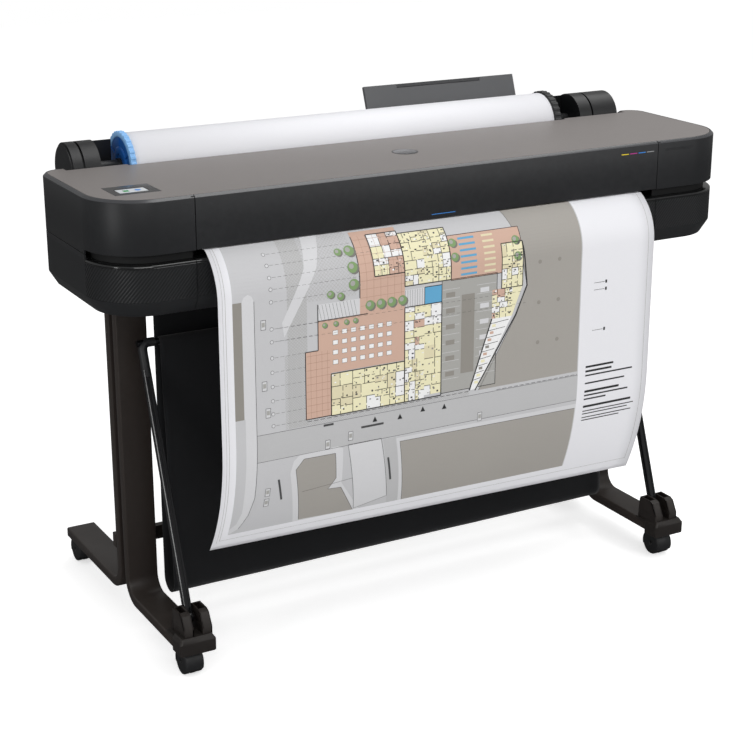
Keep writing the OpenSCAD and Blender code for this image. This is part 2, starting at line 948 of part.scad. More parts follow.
module caster_hood(x, y) {
    axle_y = caster_trail;
    half = web_w / 2 + wheel_w;
    color(black) from_front() translate([x, y, 0]) {
        translate([0, 0, neck_z]) cylinder(h = foot_z - neck_z + 12, r = stem_r);
        translate([0, 0, neck_z]) cylinder(h = foot_z - neck_z - 0.3, r = 11);
        difference() {
            bar_x(-half, half, axle_y, wheel_r, hood_r);
            bar_x(-half - 1, half + 1, axle_y, wheel_r, wheel_r + 1);
            box(-half - 1, half + 1, axle_y - hood_r - 1, axle_y + hood_r + 1, -10, wheel_r - 6);
        }
        difference() {
            bar_x(-web_w / 2 + 0.4, web_w / 2 - 0.4, axle_y, wheel_r, wheel_r + 2);
            box(-half, half, axle_y - hood_r - 1, axle_y + hood_r + 1, -10, 6);
        }
        bar_x(-half + 0.5, half - 0.5, axle_y, wheel_r, axle_r);
    }
}

module caster_wheels(x, y) {
    color("#202124") from_front() translate([x, y, 0]) for (side = [0, 1]) mirror([side, 0, 0])
        difference() {
            bar_x(web_w / 2, web_w / 2 + wheel_w - 0.5, caster_trail, wheel_r, wheel_r);
            bar_x(web_w / 2 - 1, web_w / 2 + wheel_w, caster_trail, wheel_r, axle_r + fit);
        }
}

module caster_hood_front_left() {
    caster_hood(-leg_x, caster_front_y);
}

module caster_hood_front_right() {
    caster_hood(leg_x, caster_front_y);
}

module caster_hood_rear_left() {
    caster_hood(-leg_x, caster_rear_y);
}

module caster_hood_rear_right() {
    caster_hood(leg_x, caster_rear_y);
}

module caster_wheels_front_left() {
    caster_wheels(-leg_x, caster_front_y);
}

module caster_wheels_front_right() {
    caster_wheels(leg_x, caster_front_y);
}

module caster_wheels_rear_left() {
    caster_wheels(-leg_x, caster_rear_y);
}

module caster_wheels_rear_right() {
    caster_wheels(leg_x, caster_rear_y);
}

lower_casing();
left_end_cover();
right_end_cover();
top_plate();
access_window();
rear_casing();
screen_bezel();
side_plates();
chassis_beam();
carriage_rail();
encoder_strip();
carriage();
printhead();
carriage_belt();
carriage_pulley();
idler_pulley();
drive_motors();
platen();
feed_roller();
feed_belt();
feed_motor_pulley();
pinch_rollers();
pinch_arms();
service_station();
ink_cartridges();
main_board();
power_supply();
rear_sockets();
left_roll_support();
right_roll_support();
spindle();
roll_core();
roll_paper();
left_hub();
right_hub();
printed_sheet();
rear_tray();
tray_extension();
left_front_post();
left_rear_post();
right_front_post();
right_rear_post();
stand_brackets();
cross_brace();
stand_screws();
left_arm_bracket();
right_arm_bracket();
left_bin_arm();
right_bin_arm();
bin_top_rod();
bin_front_fabric();
bin_back_fabric();
caster_hood_front_left();
caster_hood_front_right();
caster_hood_rear_left();
caster_hood_rear_right();
caster_wheels_front_left();
caster_wheels_front_right();
caster_wheels_rear_left();
caster_wheels_rear_right();
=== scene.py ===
import json
import math
import random

import bmesh
import bpy
from mathutils import Matrix, Vector, noise


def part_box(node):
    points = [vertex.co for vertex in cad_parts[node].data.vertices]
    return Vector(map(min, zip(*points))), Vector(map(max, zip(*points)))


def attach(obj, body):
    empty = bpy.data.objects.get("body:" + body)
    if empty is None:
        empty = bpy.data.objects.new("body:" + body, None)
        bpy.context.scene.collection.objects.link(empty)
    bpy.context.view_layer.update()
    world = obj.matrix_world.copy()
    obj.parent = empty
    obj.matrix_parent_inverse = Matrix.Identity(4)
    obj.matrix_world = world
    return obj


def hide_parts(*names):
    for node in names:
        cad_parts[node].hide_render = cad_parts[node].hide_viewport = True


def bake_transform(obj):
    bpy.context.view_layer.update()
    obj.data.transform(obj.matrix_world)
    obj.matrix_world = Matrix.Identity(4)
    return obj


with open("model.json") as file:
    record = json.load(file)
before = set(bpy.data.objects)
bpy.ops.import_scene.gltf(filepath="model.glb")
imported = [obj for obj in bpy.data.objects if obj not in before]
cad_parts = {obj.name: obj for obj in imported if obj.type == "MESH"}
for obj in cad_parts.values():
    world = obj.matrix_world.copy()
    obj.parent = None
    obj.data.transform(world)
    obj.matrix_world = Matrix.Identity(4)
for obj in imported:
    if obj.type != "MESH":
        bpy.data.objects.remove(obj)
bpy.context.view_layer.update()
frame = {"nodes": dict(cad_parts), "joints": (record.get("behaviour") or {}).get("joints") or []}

scene = bpy.context.scene
nodes = frame["nodes"]
mm = 0.001
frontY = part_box("lower_casing")[0].y


# places are in millimetres, counted from the body's front face in Y
def place(x, y, z):
    return Vector((x * mm, frontY + y * mm, z * mm))


def span(node):
    low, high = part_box(node)
    return (
        (low.x / mm, high.x / mm),
        ((low.y - frontY) / mm, (high.y - frontY) / mm),
        (low.z / mm, high.z / mm),
    )


# shader helpers and the effects that several looks share

def linear(code):
    values = [int(code[i:i + 2], 16) / 255 for i in (1, 3, 5)]
    return [v / 12.92 if v <= 0.04045 else ((v + 0.055) / 1.055) ** 2.4 for v in values] + [1.0]


def addNode(tree, kind, props=None, inputs=None):
    node = tree.nodes.new(kind)
    for key, value in (props or {}).items():
        setattr(node, key, value)
    for key, value in (inputs or {}).items():
        if isinstance(value, bpy.types.NodeSocket):
            tree.links.new(value, node.inputs[key])
        else:
            node.inputs[key].default_value = value
    return node


def scaled(tree, colour, factor):
    return addNode(tree, "ShaderNodeVectorMath", {"operation": "SCALE"}, {0: colour, 3: factor})


def newGroup(name, inputs, outputs):
    tree = bpy.data.node_groups.new(name, "ShaderNodeTree")
    for label, value in inputs.items():
        kind = "NodeSocketFloat" if isinstance(value, (int, float)) else "NodeSocketColor"
        socket = tree.interface.new_socket(label, in_out="INPUT", socket_type=kind)
        socket.default_value = value
    for label, kind in outputs.items():
        tree.interface.new_socket(label, in_out="OUTPUT", socket_type=kind)
    return tree, tree.nodes.new("NodeGroupInput"), tree.nodes.new("NodeGroupOutput")


def maths(tree, operation, first, second, clamp=False):
    props = {"operation": operation, "use_clamp": clamp}
    node = addNode(tree, "ShaderNodeMath", props, {0: first, 1: second})
    return node.outputs[0]


def mixColour(tree, factor, first, second, mode="MIX"):
    node = addNode(tree, "ShaderNodeMix", {"data_type": "RGBA", "blend_type": mode})
    for key, value in ((0, factor), (6, first), (7, second)):
        if isinstance(value, bpy.types.NodeSocket):
            tree.links.new(value, node.inputs[key])
        else:
            node.inputs[key].default_value = value
    return node.outputs[2]


def noiseOf(tree, vector, scale, detail=3.0):
    node = addNode(tree, "ShaderNodeTexNoise", None, {"Vector": vector, "Scale": scale, "Detail": detail})
    return node.outputs["Fac"]


grey = [0.5, 0.5, 0.5, 1.0]
floatOut = "NodeSocketFloat"
colourOut = "NodeSocketColor"


def buildGrain():
    tree, given, result = newGroup(
        "MouldedGrain",
        {"Colour": grey, "Tone Spread": 0.1, "Roughness": 0.5, "Rough Spread": 0.1, "Grain Scale": 1200.0},
        {"Colour": colourOut, "Roughness": floatOut, "Height": floatOut},
    )
    spot = tree.nodes.new("ShaderNodeTexCoord").outputs["Object"]
    fine = noiseOf(tree, spot, given.outputs["Grain Scale"], 2.0)
    broad = noiseOf(tree, spot, 7.0, 4.0)
    both = maths(tree, "ADD", maths(tree, "MULTIPLY", fine, 0.35), maths(tree, "MULTIPLY", broad, 0.65))
    centred = maths(tree, "SUBTRACT", both, 0.5)
    tone = maths(tree, "ADD", maths(tree, "MULTIPLY", centred, given.outputs["Tone Spread"]), 1.0)
    toned = scaled(tree, given.outputs["Colour"], tone)
    rough = maths(tree, "MULTIPLY", centred, given.outputs["Rough Spread"])
    tree.links.new(toned.outputs[0], result.inputs["Colour"])
    tree.links.new(maths(tree, "ADD", rough, given.outputs["Roughness"], True), result.inputs["Roughness"])
    tree.links.new(fine, result.inputs["Height"])
    return tree


def buildWear():
    tree, given, result = newGroup(
        "EdgeWear",
        {"Colour": grey, "Worn Colour": grey, "Amount": 0.3},
        {"Colour": colourOut, "Mask": floatOut},
    )
    point = tree.nodes.new("ShaderNodeNewGeometry").outputs["Pointiness"]
    spot = tree.nodes.new("ShaderNodeTexCoord").outputs["Object"]
    edge = addNode(tree, "ShaderNodeMapRange", None, {"Value": point, "From Min": 0.52, "From Max": 0.62})
    broken = maths(tree, "MULTIPLY", edge.outputs[0], noiseOf(tree, spot, 90.0, 5.0))
    mask = maths(tree, "MULTIPLY", broken, given.outputs["Amount"], True)
    colour = mixColour(tree, mask, given.outputs["Colour"], given.outputs["Worn Colour"])
    tree.links.new(colour, result.inputs["Colour"])
    tree.links.new(mask, result.inputs["Mask"])
    return tree


def buildDust():
    tree, given, result = newGroup(
        "Dust",
        {"Colour": grey, "Dust Colour": linear("#b3aea6"), "Amount": 0.05},
        {"Colour": colourOut, "Mask": floatOut},
    )
    spot = tree.nodes.new("ShaderNodeTexCoord").outputs["Object"]
    normal = tree.nodes.new("ShaderNodeNewGeometry").outputs["Normal"]
    upward = addNode(tree, "ShaderNodeSeparateXYZ", None, {0: normal}).outputs["Z"]
    facing = maths(tree, "MAXIMUM", upward, 0.0)
    patches = maths(tree, "MULTIPLY", noiseOf(tree, spot, 26.0, 6.0), facing)
    mask = maths(tree, "MULTIPLY", patches, given.outputs["Amount"], True)
    colour = mixColour(tree, mask, given.outputs["Colour"], given.outputs["Dust Colour"])
    tree.links.new(colour, result.inputs["Colour"])
    tree.links.new(mask, result.inputs["Mask"])
    return tree


def buildWeave():
    tree, given, result = newGroup(
        "WovenCloth",
        {"Colour": grey, "Thread Colour": grey, "Thread Scale": 500.0, "Fade": 0.3},
        {"Colour": colourOut, "Height": floatOut},
    )
    spot = tree.nodes.new("ShaderNodeTexCoord").outputs["Object"]
    bands = []
    for direction in ("X", "Z"):
        wave = addNode(
            tree, "ShaderNodeTexWave", {"bands_direction": direction},
            {"Vector": spot, "Scale": given.outputs["Thread Scale"], "Distortion": 1.5},
        )
        bands.append(wave.outputs["Fac"])
    height = maths(tree, "MAXIMUM", bands[0], bands[1])
    worn = maths(tree, "MULTIPLY", noiseOf(tree, spot, 9.0, 5.0), given.outputs["Fade"])
    factor = maths(tree, "ADD", maths(tree, "MULTIPLY", height, 0.3), worn, True)
    colour = mixColour(tree, factor, given.outputs["Colour"], given.outputs["Thread Colour"])
    tree.links.new(colour, result.inputs["Colour"])
    tree.links.new(height, result.inputs["Height"])
    return tree


def buildPaper():
    tree, given, result = newGroup(
        "PaperFibre",
        {"Colour": grey, "Fibre Spread": 0.03},
        {"Colour": colourOut, "Height": floatOut},
    )
    spot = tree.nodes.new("ShaderNodeTexCoord").outputs["Object"]
    fibre = noiseOf(tree, spot, 420.0, 5.0)
    centred = maths(tree, "SUBTRACT", maths(tree, "ADD", fibre, noiseOf(tree, spot, 5.0, 2.0)), 1.0)
    tone = maths(tree, "ADD", maths(tree, "MULTIPLY", centred, given.outputs["Fibre Spread"]), 1.0)
    toned = scaled(tree, given.outputs["Colour"], tone)
    tree.links.new(toned.outputs[0], result.inputs["Colour"])
    tree.links.new(fibre, result.inputs["Height"])
    return tree


def buildBrushed():
    tree, given, result = newGroup(
        "BrushedMetal",
        {"Colour": grey, "Roughness": 0.3},
        {"Colour": colourOut, "Roughness": floatOut, "Height": floatOut},
    )
    spot = tree.nodes.new("ShaderNodeTexCoord").outputs["Object"]
    drawn = addNode(tree, "ShaderNodeMapping", None, {"Vector": spot, "Scale": (12.0, 900.0, 900.0)})
    lines = noiseOf(tree, drawn.outputs[0], 1.0, 4.0)
    tone = maths(tree, "ADD", maths(tree, "MULTIPLY", lines, 0.25), 0.87)
    toned = scaled(tree, given.outputs["Colour"], tone)
    rough = maths(tree, "ADD", maths(tree, "MULTIPLY", lines, 0.2), given.outputs["Roughness"], True)
    tree.links.new(toned.outputs[0], result.inputs["Colour"])
    tree.links.new(rough, result.inputs["Roughness"])
    tree.links.new(lines, result.inputs["Height"])
    return tree


effects = {
    "grain": buildGrain(), "wear": buildWear(), "dust": buildDust(),
    "weave": buildWeave(), "paper": buildPaper(), "brushed": buildBrushed(),
}


def startMaterial(name, fixed):
    material = bpy.data.materials.new(name)
    material.use_nodes = True
    tree = material.node_tree
    shader = tree.nodes["Principled BSDF"]
    for key, value in fixed.items():
        shader.inputs[key].default_value = value
    return material, tree, shader


def useGroup(tree, effect, inputs):
    node = addNode(tree, "ShaderNodeGroup", {"node_tree": effects[effect]})
    for key, value in inputs.items():
        if isinstance(value, bpy.types.NodeSocket):
            tree.links.new(value, node.inputs[key])
        else:
            node.inputs[key].default_value = value
    return node.outputs


def bumpInto(tree, shader, height, strength, distance):
    bump = addNode(
        tree, "ShaderNodeBump", None, {"Height": height, "Strength": strength, "Distance": distance},
    )
    tree.links.new(bump.outputs[0], shader.inputs["Normal"])


def plastic(
    name, code, rough=0.5, tone=0.15, spread=0.12, grain=1200.0, bump=0.15, worn=None, dust=0.03, fixed=None,
):
    material, tree, shader = startMaterial(name, fixed or {})
    made = useGroup(tree, "grain", {
        "Colour": linear(code), "Tone Spread": tone, "Roughness": rough,
        "Rough Spread": spread, "Grain Scale": grain,
    })
    colour = made["Colour"]
    if worn:
        wear = {"Colour": colour, "Worn Colour": linear(worn), "Amount": 0.35}
        colour = useGroup(tree, "wear", wear)["Colour"]
    if dust:
        colour = useGroup(tree, "dust", {"Colour": colour, "Amount": dust})["Colour"]
    tree.links.new(colour, shader.inputs["Base Color"])
    tree.links.new(made["Roughness"], shader.inputs["Roughness"])
    bumpInto(tree, shader, made["Height"], bump, 0.0002)
    return material


def metal(name, code, rough):
    material, tree, shader = startMaterial(name, {"Metallic": 1.0})
    made = useGroup(tree, "brushed", {"Colour": linear(code), "Roughness": rough})
    tree.links.new(made["Colour"], shader.inputs["Base Color"])
    tree.links.new(made["Roughness"], shader.inputs["Roughness"])
    bumpInto(tree, shader, made["Height"], 0.06, 0.0002)
    return material


def paper(name, code, rough=0.55, spread=0.03, fixed=None):
    material, tree, shader = startMaterial(name, {"Roughness": rough, **(fixed or {})})
    made = useGroup(tree, "paper", {"Colour": linear(code), "Fibre Spread": spread})
    tree.links.new(made["Colour"], shader.inputs["Base Color"])
    bumpInto(tree, shader, made["Height"], 0.05, 0.0002)
    return material


def cloth(name, code, thread):
    fixed = {"Roughness": 0.9, "Sheen Weight": 0.12, "Specular IOR Level": 0.2}
    material, tree, shader = startMaterial(name, fixed)
    made = useGroup(tree, "weave", {
        "Colour": linear(code), "Thread Colour": linear(thread), "Thread Scale": 260.0, "Fade": 0.25,
    })
    colour = useGroup(tree, "dust", {"Colour": made["Colour"], "Amount": 0.04})["Colour"]
    tree.links.new(colour, shader.inputs["Base Color"])
    bumpInto(tree, shader, made["Height"], 0.25, 0.0005)
    return material


dim = {"Specular IOR Level": 0.35}
bright = {"Specular IOR Level": 0.9}
glossy = {"Specular IOR Level": 1.0}
looks = {
    "casing": plastic("CasingCharcoal", "#1d1e20", 0.42, 0.2, 0.12, 1500.0, 0.12, "#3c3c3e", 0.01, dim),
    # the lip is glossy, and its base is darker than the casing as painted shade inside the slot
    "lip": plastic("CasingLip", "#0f1011", 0.13, 0.1, 0.05, 900.0, 0.03, None, 0.01, glossy),
    # the rim look is paler than the casing: a painted highlight along the top chamfer
    "rim": plastic("CasingRimPaintedHighlight", "#3b3c3f", 0.26, 0.1, 0.06, 900.0, 0.03, None, 0.01, bright),
    "top": plastic("TopTaupe", "#807b79", 0.45, 0.1, 0.1, 1700.0, 0.18, None, 0.04, dim),
    "black": plastic("BlackPlastic", "#151618", 0.38, 0.2, 0.15, 1000.0, 0.1, "#3a3a3b"),
    "gloss": plastic("GlossBlack", "#0c0d0f", 0.12, 0.1, 0.08, 700.0, 0.02, None, 0.02),
    "satin": plastic("SatinBlack", "#191a1c", 0.5, 0.2, 0.15, 1300.0, 0.15, "#38383a"),
    "dark": plastic("ShadowBlack", "#08090a", 0.7, 0.2, 0.1, 900.0, 0.1, None, 0.0),
    "blue": plastic("HubBlue", "#1f5fae", 0.35, 0.9, 0.2, 420.0, 0.2, None, 0.0),
    "rimBlue": plastic("HubRimBlue", "#83b8ec", 0.35, 0.2, 0.1, 900.0, 0.1, None, 0.0),
    "tray": plastic("TrayGrey", "#525355", 0.5, 0.1, 0.12, 1400.0, 0.15, "#77787a"),
    "trayDark": plastic("TrayDark", "#303133", 0.5, 0.1, 0.12, 1400.0, 0.15, "#66676a"),
    "bronze": plastic("StandBronze", "#2b2522", 0.4, 0.2, 0.12, 1900.0, 0.12, "#4c443f", 0.05, dim),
    "bracket": plastic("BracketBrown", "#211d1b", 0.42, 0.2, 0.14, 1300.0, 0.14, "#3f3935", 0.04, dim),
    "arm": plastic("ArmBlack", "#121315", 0.16, 0.15, 0.1, 1100.0, 0.05, None, 0.03),
    "rubber": plastic("RollerRubber", "#2e2e30", 0.8, 0.25, 0.1, 800.0, 0.4, None, 0.0),
    "belt": plastic("BeltRubber", "#1b1b1c", 0.75, 0.2, 0.1, 700.0, 0.3, None, 0.0),
    "pulley": plastic("PulleyPlastic", "#c9c9c3", 0.35, 0.08, 0.1, 900.0, 0.06, None, 0.0),
    "motor": plastic("MotorCase", "#54565a", 0.35, 0.1, 0.15, 1300.0, 0.1, "#8c8e92", 0.0, {"Metallic": 0.7}),
    "film": plastic("EncoderFilm", "#9a9a9c", 0.15, 0.1, 0.05, 900.0, 0.02, None, 0.0),
    "ink": plastic("InkPlastic", "#3a3b3e", 0.3, 0.15, 0.1, 800.0, 0.06, None, 0.0),
    "board": plastic("BoardGreen", "#15512e", 0.4, 0.5, 0.2, 260.0, 0.1, None, 0.0),
    "wheel": plastic("WheelRubber", "#17181a", 0.55, 0.2, 0.12, 900.0, 0.15, "#2e2e2f", 0.1),
    "steel": metal("FrameSteel", "#b4b6ba", 0.35),
    "chrome": metal("RailChrome", "#d8dadd", 0.14),
    "rod": metal("BinRod", "#3a3b3d", 0.32),
    "paperWhite": paper("PaperWhite", "#e6e6ea", 0.5),
    "card": paper("CoreCard", "#a98d68", 0.85, 0.2),
    "fabric": cloth("BinFabric", "#0d0e10", "#1d1e21"),
}


# mesh helpers

def makeObject(name, bm, materials, sharp=38.0, weld=0.02):
    bmesh.ops.remove_doubles(bm, verts=bm.verts, dist=weld * mm)
    bmesh.ops.recalc_face_normals(bm, faces=bm.faces)
    mesh = bpy.data.meshes.new(name)
    bm.to_mesh(mesh)
    bm.free()
    for key in materials:
        mesh.materials.append(looks[key])
    piece = bpy.data.objects.new(name, mesh)
    scene.collection.objects.link(piece)
    mesh.shade_smooth()
    if sharp:
        mesh.set_sharp_from_angle(angle=math.radians(sharp))
    return piece


def softEdges(piece, width, segments=2, angle=35.0):
    bevel = piece.modifiers.new("Edges", "BEVEL")
    bevel.width = width * mm
    bevel.segments = segments
    bevel.limit_method = "ANGLE"
    bevel.angle_limit = math.radians(angle)
    bevel.use_clamp_overlap = True
    bevel.harden_normals = False
    weighted = piece.modifiers.new("Normals", "WEIGHTED_NORMAL")
    weighted.keep_sharp = True


def adopt(piece, body, replaced=()):
    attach(piece, body)
    if replaced:
        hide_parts(*replaced)
    return piece


def gridFaces(bm, rings, closed=False, loop=True, material=0):
    # rings of equal length, joined one to the next
    made = []
    count = len(rings[0])
    last = len(rings) if loop else len(rings) - 1
    for i in range(last):
        ring, following = rings[i], rings[(i + 1) % len(rings)]
        for j in range(count if closed else count - 1):
            k = (j + 1) % count
            corners = [ring[j], ring[k], following[k], following[j]]
            unique = []
            for vert in corners:
                if vert not in unique:
                    unique.append(vert)
            if len(unique) > 2:
                face = bm.faces.new(unique)
                face.material_index = material
                made.append(face)
    return made


def addFace(bm, verts, material=0):
    face = bm.faces.new(verts)
    face.material_index = material
    return face


def addBox(bm, x0, x1, y0, y1, z0, z1, material=0, turn=None):
    corners = [(x, y, z) for x in (x0, x1) for y in (y0, y1) for z in (z0, z1)]
    verts = [bm.verts.new((turn @ place(*c)) if turn else place(*c)) for c in corners]
    for quad in ((0, 1, 3, 2), (4, 6, 7, 5), (0, 4, 5, 1), (2, 3, 7, 6), (0, 2, 6, 4), (1, 5, 7, 3)):
        addFace(bm, [verts[i] for i in quad], material)
    return verts


def arcOf(cx, cy, radius, start, end, steps):
    return [
        (cx + radius * math.cos(math.radians(start + (end - start) * i / steps)),
         cy + radius * math.sin(math.radians(start + (end - start) * i / steps)))
        for i in range(steps + 1)
    ]


def miters(points, closed=False):
    # for each point the vector that an inset of one follows, to the right of the direction of travel
    found = []
    count = len(points)
    for i, here in enumerate(points):
        normals = []
        for step in (-1, 1):
            j = i
            while True:
                j += step
                if closed:
                    j %= count
                elif not 0 <= j < count:
                    break
                if (Vector(points[j]) - Vector(here)).length > 1e-4:
                    break
            if not closed and not 0 <= j < count:
                continue
            way = (Vector(points[j]) - Vector(here)) * step
            way.normalize()
            normals.append(Vector((way.y, -way.x)))
        if len(normals) == 1:
            found.append(normals[0])
        else:
            total = normals[0] + normals[1]
            found.append(total / max(0.2, 1 + normals[0].dot(normals[1])))
    return found


def sweep(bm, stations, profiles, closed=False, mirror=1, material=0, loopProfile=True, caps=True):
    # stations are (x, y, profile name), profiles give (inset, z) points of equal number
    points = [(x, y) for x, y, _ in stations]
    ways = miters(points, closed)
    rings = []
    for (x, y, key), way in zip(stations, ways):
        ring = []
        for inset, z in profiles[key]:
            ring.append(bm.verts.new(place(mirror * (x + way.x * inset), y + way.y * inset, z)))
        rings.append(ring)
    gridFaces(bm, rings, closed=loopProfile, loop=closed, material=material)
    if caps and not closed and loopProfile:
        addFace(bm, rings[0], material)
        addFace(bm, rings[-1], material)
    return rings


def turned(bm, profile, y, z, segments=64, material=0, teeth=None):
    # profile is (x, radius) points turned about an axis along X; a radius of 0 closes the end
    rings = []
    for x, radius in profile:
        if radius == 0:
            rings.append([bm.verts.new(place(x, y, z))] * segments)
            continue
        ring = []
        for i in range(segments):
            angle = 2 * math.pi * i / segments
            reach = radius * (teeth(i) if teeth and radius > 58 else 1)
            ring.append(bm.verts.new(place(x, y + reach * math.cos(angle), z + reach * math.sin(angle))))
        rings.append(ring)
    gridFaces(bm, rings, closed=True, loop=False, material=material)


def extruded(bm, outline, x0, x1, material=0, turn=None):
    # outline is (y, z) points, extruded along X
    ends = []
    for x in (x0, x1):
        verts = [bm.verts.new((turn @ place(x, y, z)) if turn else place(x, y, z)) for y, z in outline]
        ends.append(verts)
    gridFaces(bm, ends, closed=True, loop=False, material=material)
    addFace(bm, ends[0], material)
    addFace(bm, ends[1], material)


def roundedRect(x0, x1, y0, y1, radius, steps=4):
    points = []
    for cx, cy, start in (
        (x1 - radius, y1 - radius, 0), (x0 + radius, y1 - radius, 90),
        (x0 + radius, y0 + radius, 180), (x1 - radius, y0 + radius, 270),
    ):
        points += arcOf(cx, cy, radius, start, start + 90, steps)
    return points


def flatPiece(bm, outline, z0, z1, material=0):
    # outline is (x, y) points, raised from z0 to z1
    ends = [[bm.verts.new(place(x, y, z)) for x, y in outline] for z in (z0, z1)]
    gridFaces(bm, ends, closed=True, loop=False, material=material)
    addFace(bm, ends[0], material)
    addFace(bm, ends[1], material)


def smoothSharp():
    # splits the shading of a node's mesh at its hard edges
    tree = bpy.data.node_groups.new("SmoothByAngle", "GeometryNodeTree")
    tree.interface.new_socket("Geometry", in_out="INPUT", socket_type="NodeSocketGeometry")
    tree.interface.new_socket("Geometry", in_out="OUTPUT", socket_type="NodeSocketGeometry")
    given, result = tree.nodes.new("NodeGroupInput"), tree.nodes.new("NodeGroupOutput")
    angle = tree.nodes.new("GeometryNodeInputMeshEdgeAngle")
    hard = tree.nodes.new("FunctionNodeCompare")
    hard.operation = "LESS_THAN"
    hard.inputs[1].default_value = math.radians(32)
    tree.links.new(angle.outputs["Unsigned Angle"], hard.inputs[0])
    faces = tree.nodes.new("GeometryNodeSetShadeSmooth")
    edges = tree.nodes.new("GeometryNodeSetShadeSmooth")
    edges.domain = "EDGE"
    tree.links.new(given.outputs[0], faces.inputs["Geometry"])
    tree.links.new(faces.outputs[0], edges.inputs["Geometry"])
    tree.links.new(hard.outputs[0], edges.inputs["Shade Smooth"])
    tree.links.new(edges.outputs[0], result.inputs[0])
    return tree


smoothTree = smoothSharp()


def dress(node, look, bevel=0.5, segments=2):
    piece = nodes[node]
    custom = piece.data.attributes.get("custom_normal")
    if custom:
        piece.data.attributes.remove(custom)
    piece.data.materials.clear()
    piece.data.materials.append(looks[look])
    weld = piece.modifiers.new("Weld", "WELD")
    weld.merge_threshold = 0.00001
    if bevel:
        edges = piece.modifiers.new("Edges", "BEVEL")
        edges.width = bevel * mm
        edges.segments = segments
        edges.limit_method = "ANGLE"
        edges.angle_limit = math.radians(32)
    smooth = piece.modifiers.new("Smooth", "NODES")
    smooth.node_group = smoothTree
    weighted = piece.modifiers.new("Normals", "WEIGHTED_NORMAL")
    weighted.keep_sharp = True


print("looks and helpers ready")


# the simple parts keep the frame's own meshes
plainParts = {
    "top_plate": ("top", 0.5), "screen_bezel": ("gloss", 0.4), "rear_casing": ("satin", 1.0),
    "side_plates": ("steel", 0), "chassis_beam": ("steel", 0.4), "carriage_rail": ("chrome", 0.5),
    "encoder_strip": ("film", 0), "carriage": ("black", 0.8), "printhead": ("satin", 0.6),
    "carriage_belt": ("belt", 0), "carriage_pulley": ("pulley", 0.3), "idler_pulley": ("pulley", 0.3),
    "drive_motors": ("motor", 0.6), "platen": ("satin", 0.4), "feed_roller": ("rubber", 0.3),
    "feed_belt": ("belt", 0), "feed_motor_pulley": ("pulley", 0.3), "pinch_rollers": ("rubber", 0.3),
    "pinch_arms": ("black", 0.3), "service_station": ("satin", 0.6), "ink_cartridges": ("ink", 0.8),
    "main_board": ("board", 0.2), "power_supply": ("steel", 0.5), "rear_sockets": ("black", 0.3),
    "spindle": ("black", 0.5), "roll_core": ("card", 0), "rear_tray": ("tray", 0.8),
    "tray_extension": ("trayDark", 0.6), "stand_brackets": ("bronze", 0.6), "cross_brace": ("bronze", 1.2),
    "stand_screws": ("steel", 0.4),
    "bin_top_rod": ("rod", 0.3), "left_roll_support": ("black", 1.2), "right_roll_support": ("black", 1.2),
}
corners = ("front_left", "front_right", "rear_left", "rear_right")
for corner in corners:
    plainParts["caster_wheels_" + corner] = ("wheel", 2.5)
for node, (look, width) in plainParts.items():
    dress(node, look, width)
print("frame parts dressed")


# body casings
casing = {
    "corner": 100, "rear": 36, "crease": 96, "wall": 3,
    "notchX": 612, "notchY": 297, "scallopX": 498, "scallopY": 287,
}
(_, halfBody), (_, bodyBack), (bodyBottom, casingTop) = span("lower_casing")
ledgeTop = casingTop - 7.5
topZ = span("top_plate")[2][1]
(windowLeft, windowRight), _, (windowFoot, _) = span("access_window")
windowLeft += 6.5
windowRight -= 6.5
seams = {-1: windowLeft - 1.5, 1: windowRight + 1.5}
upperFoot = windowFoot - 1
deckZ = topZ - 4


def rimProfile(foot):
    return [
        (3, foot + 0.4), (0.9, foot), (0.25, foot + 0.3), (0, foot + 1), (0, topZ - 5.4), (0.5, topZ - 4.4),
        (4.2, topZ - 0.7), (5.1, topZ - 0.1), (6.2, topZ), (6.8, topZ - 0.2), (7, topZ - 0.6),
        (7, deckZ), (3, deckZ - 0.1),
    ]


def plainProfile(foot):
    return [
        (3, foot + 0.4), (0.9, foot), (0.25, foot + 0.3), (0, foot + 1), (0, topZ - 5.4), (0.05, topZ - 4.9),
        (0.2, topZ - 4.6), (0.4, topZ - 4.4), (0.7, topZ - 4.2), (1.2, deckZ), (1.8, deckZ), (2.4, deckZ),
        (3, deckZ - 0.1),
    ]


sideFoot = ledgeTop + 8.5
coverProfiles = {
    "front": rimProfile(upperFoot), "side": rimProfile(sideFoot), "notch": plainProfile(upperFoot),
}


def coverStations(seam, steps):
    # from the seam in front, round the corner, along the side and into the notch behind
    near, far = casing["corner"], casing["rear"]
    crease = 180 + math.degrees(math.asin((near - casing["crease"]) / near))
    stations = [(seam, 0, "front")]
    stations += [(x, y, "front") for x, y in arcOf(-halfBody + near, near, near, 270, crease, 28)]
    stations.append((*stations[-1][:2], "side"))
    stations.append((-halfBody, near, "side"))
    stations += [(x, y, "side") for x, y in arcOf(-halfBody + far, bodyBack - far, far, 180, 90, 14)]
    stations.append((-casing["notchX"], bodyBack, "side"))
    rimEnd = len(stations)
    stations.append((*stations[-1][:2], "notch"))
    stations += [(x, y, "notch") for x, y in steps]
    return stations, rimEnd


def paintRimHighlight(bm, material):
    # the chamfer along the top edge, coloured with the paler rim look as a painted highlight
    for face in bm.faces:
        heights = [v.co.z / mm for v in face.verts]
        if min(heights) > topZ - 5 and max(heights) - min(heights) > 0.05 and max(heights) > topZ - 1:
            face.material_index = material


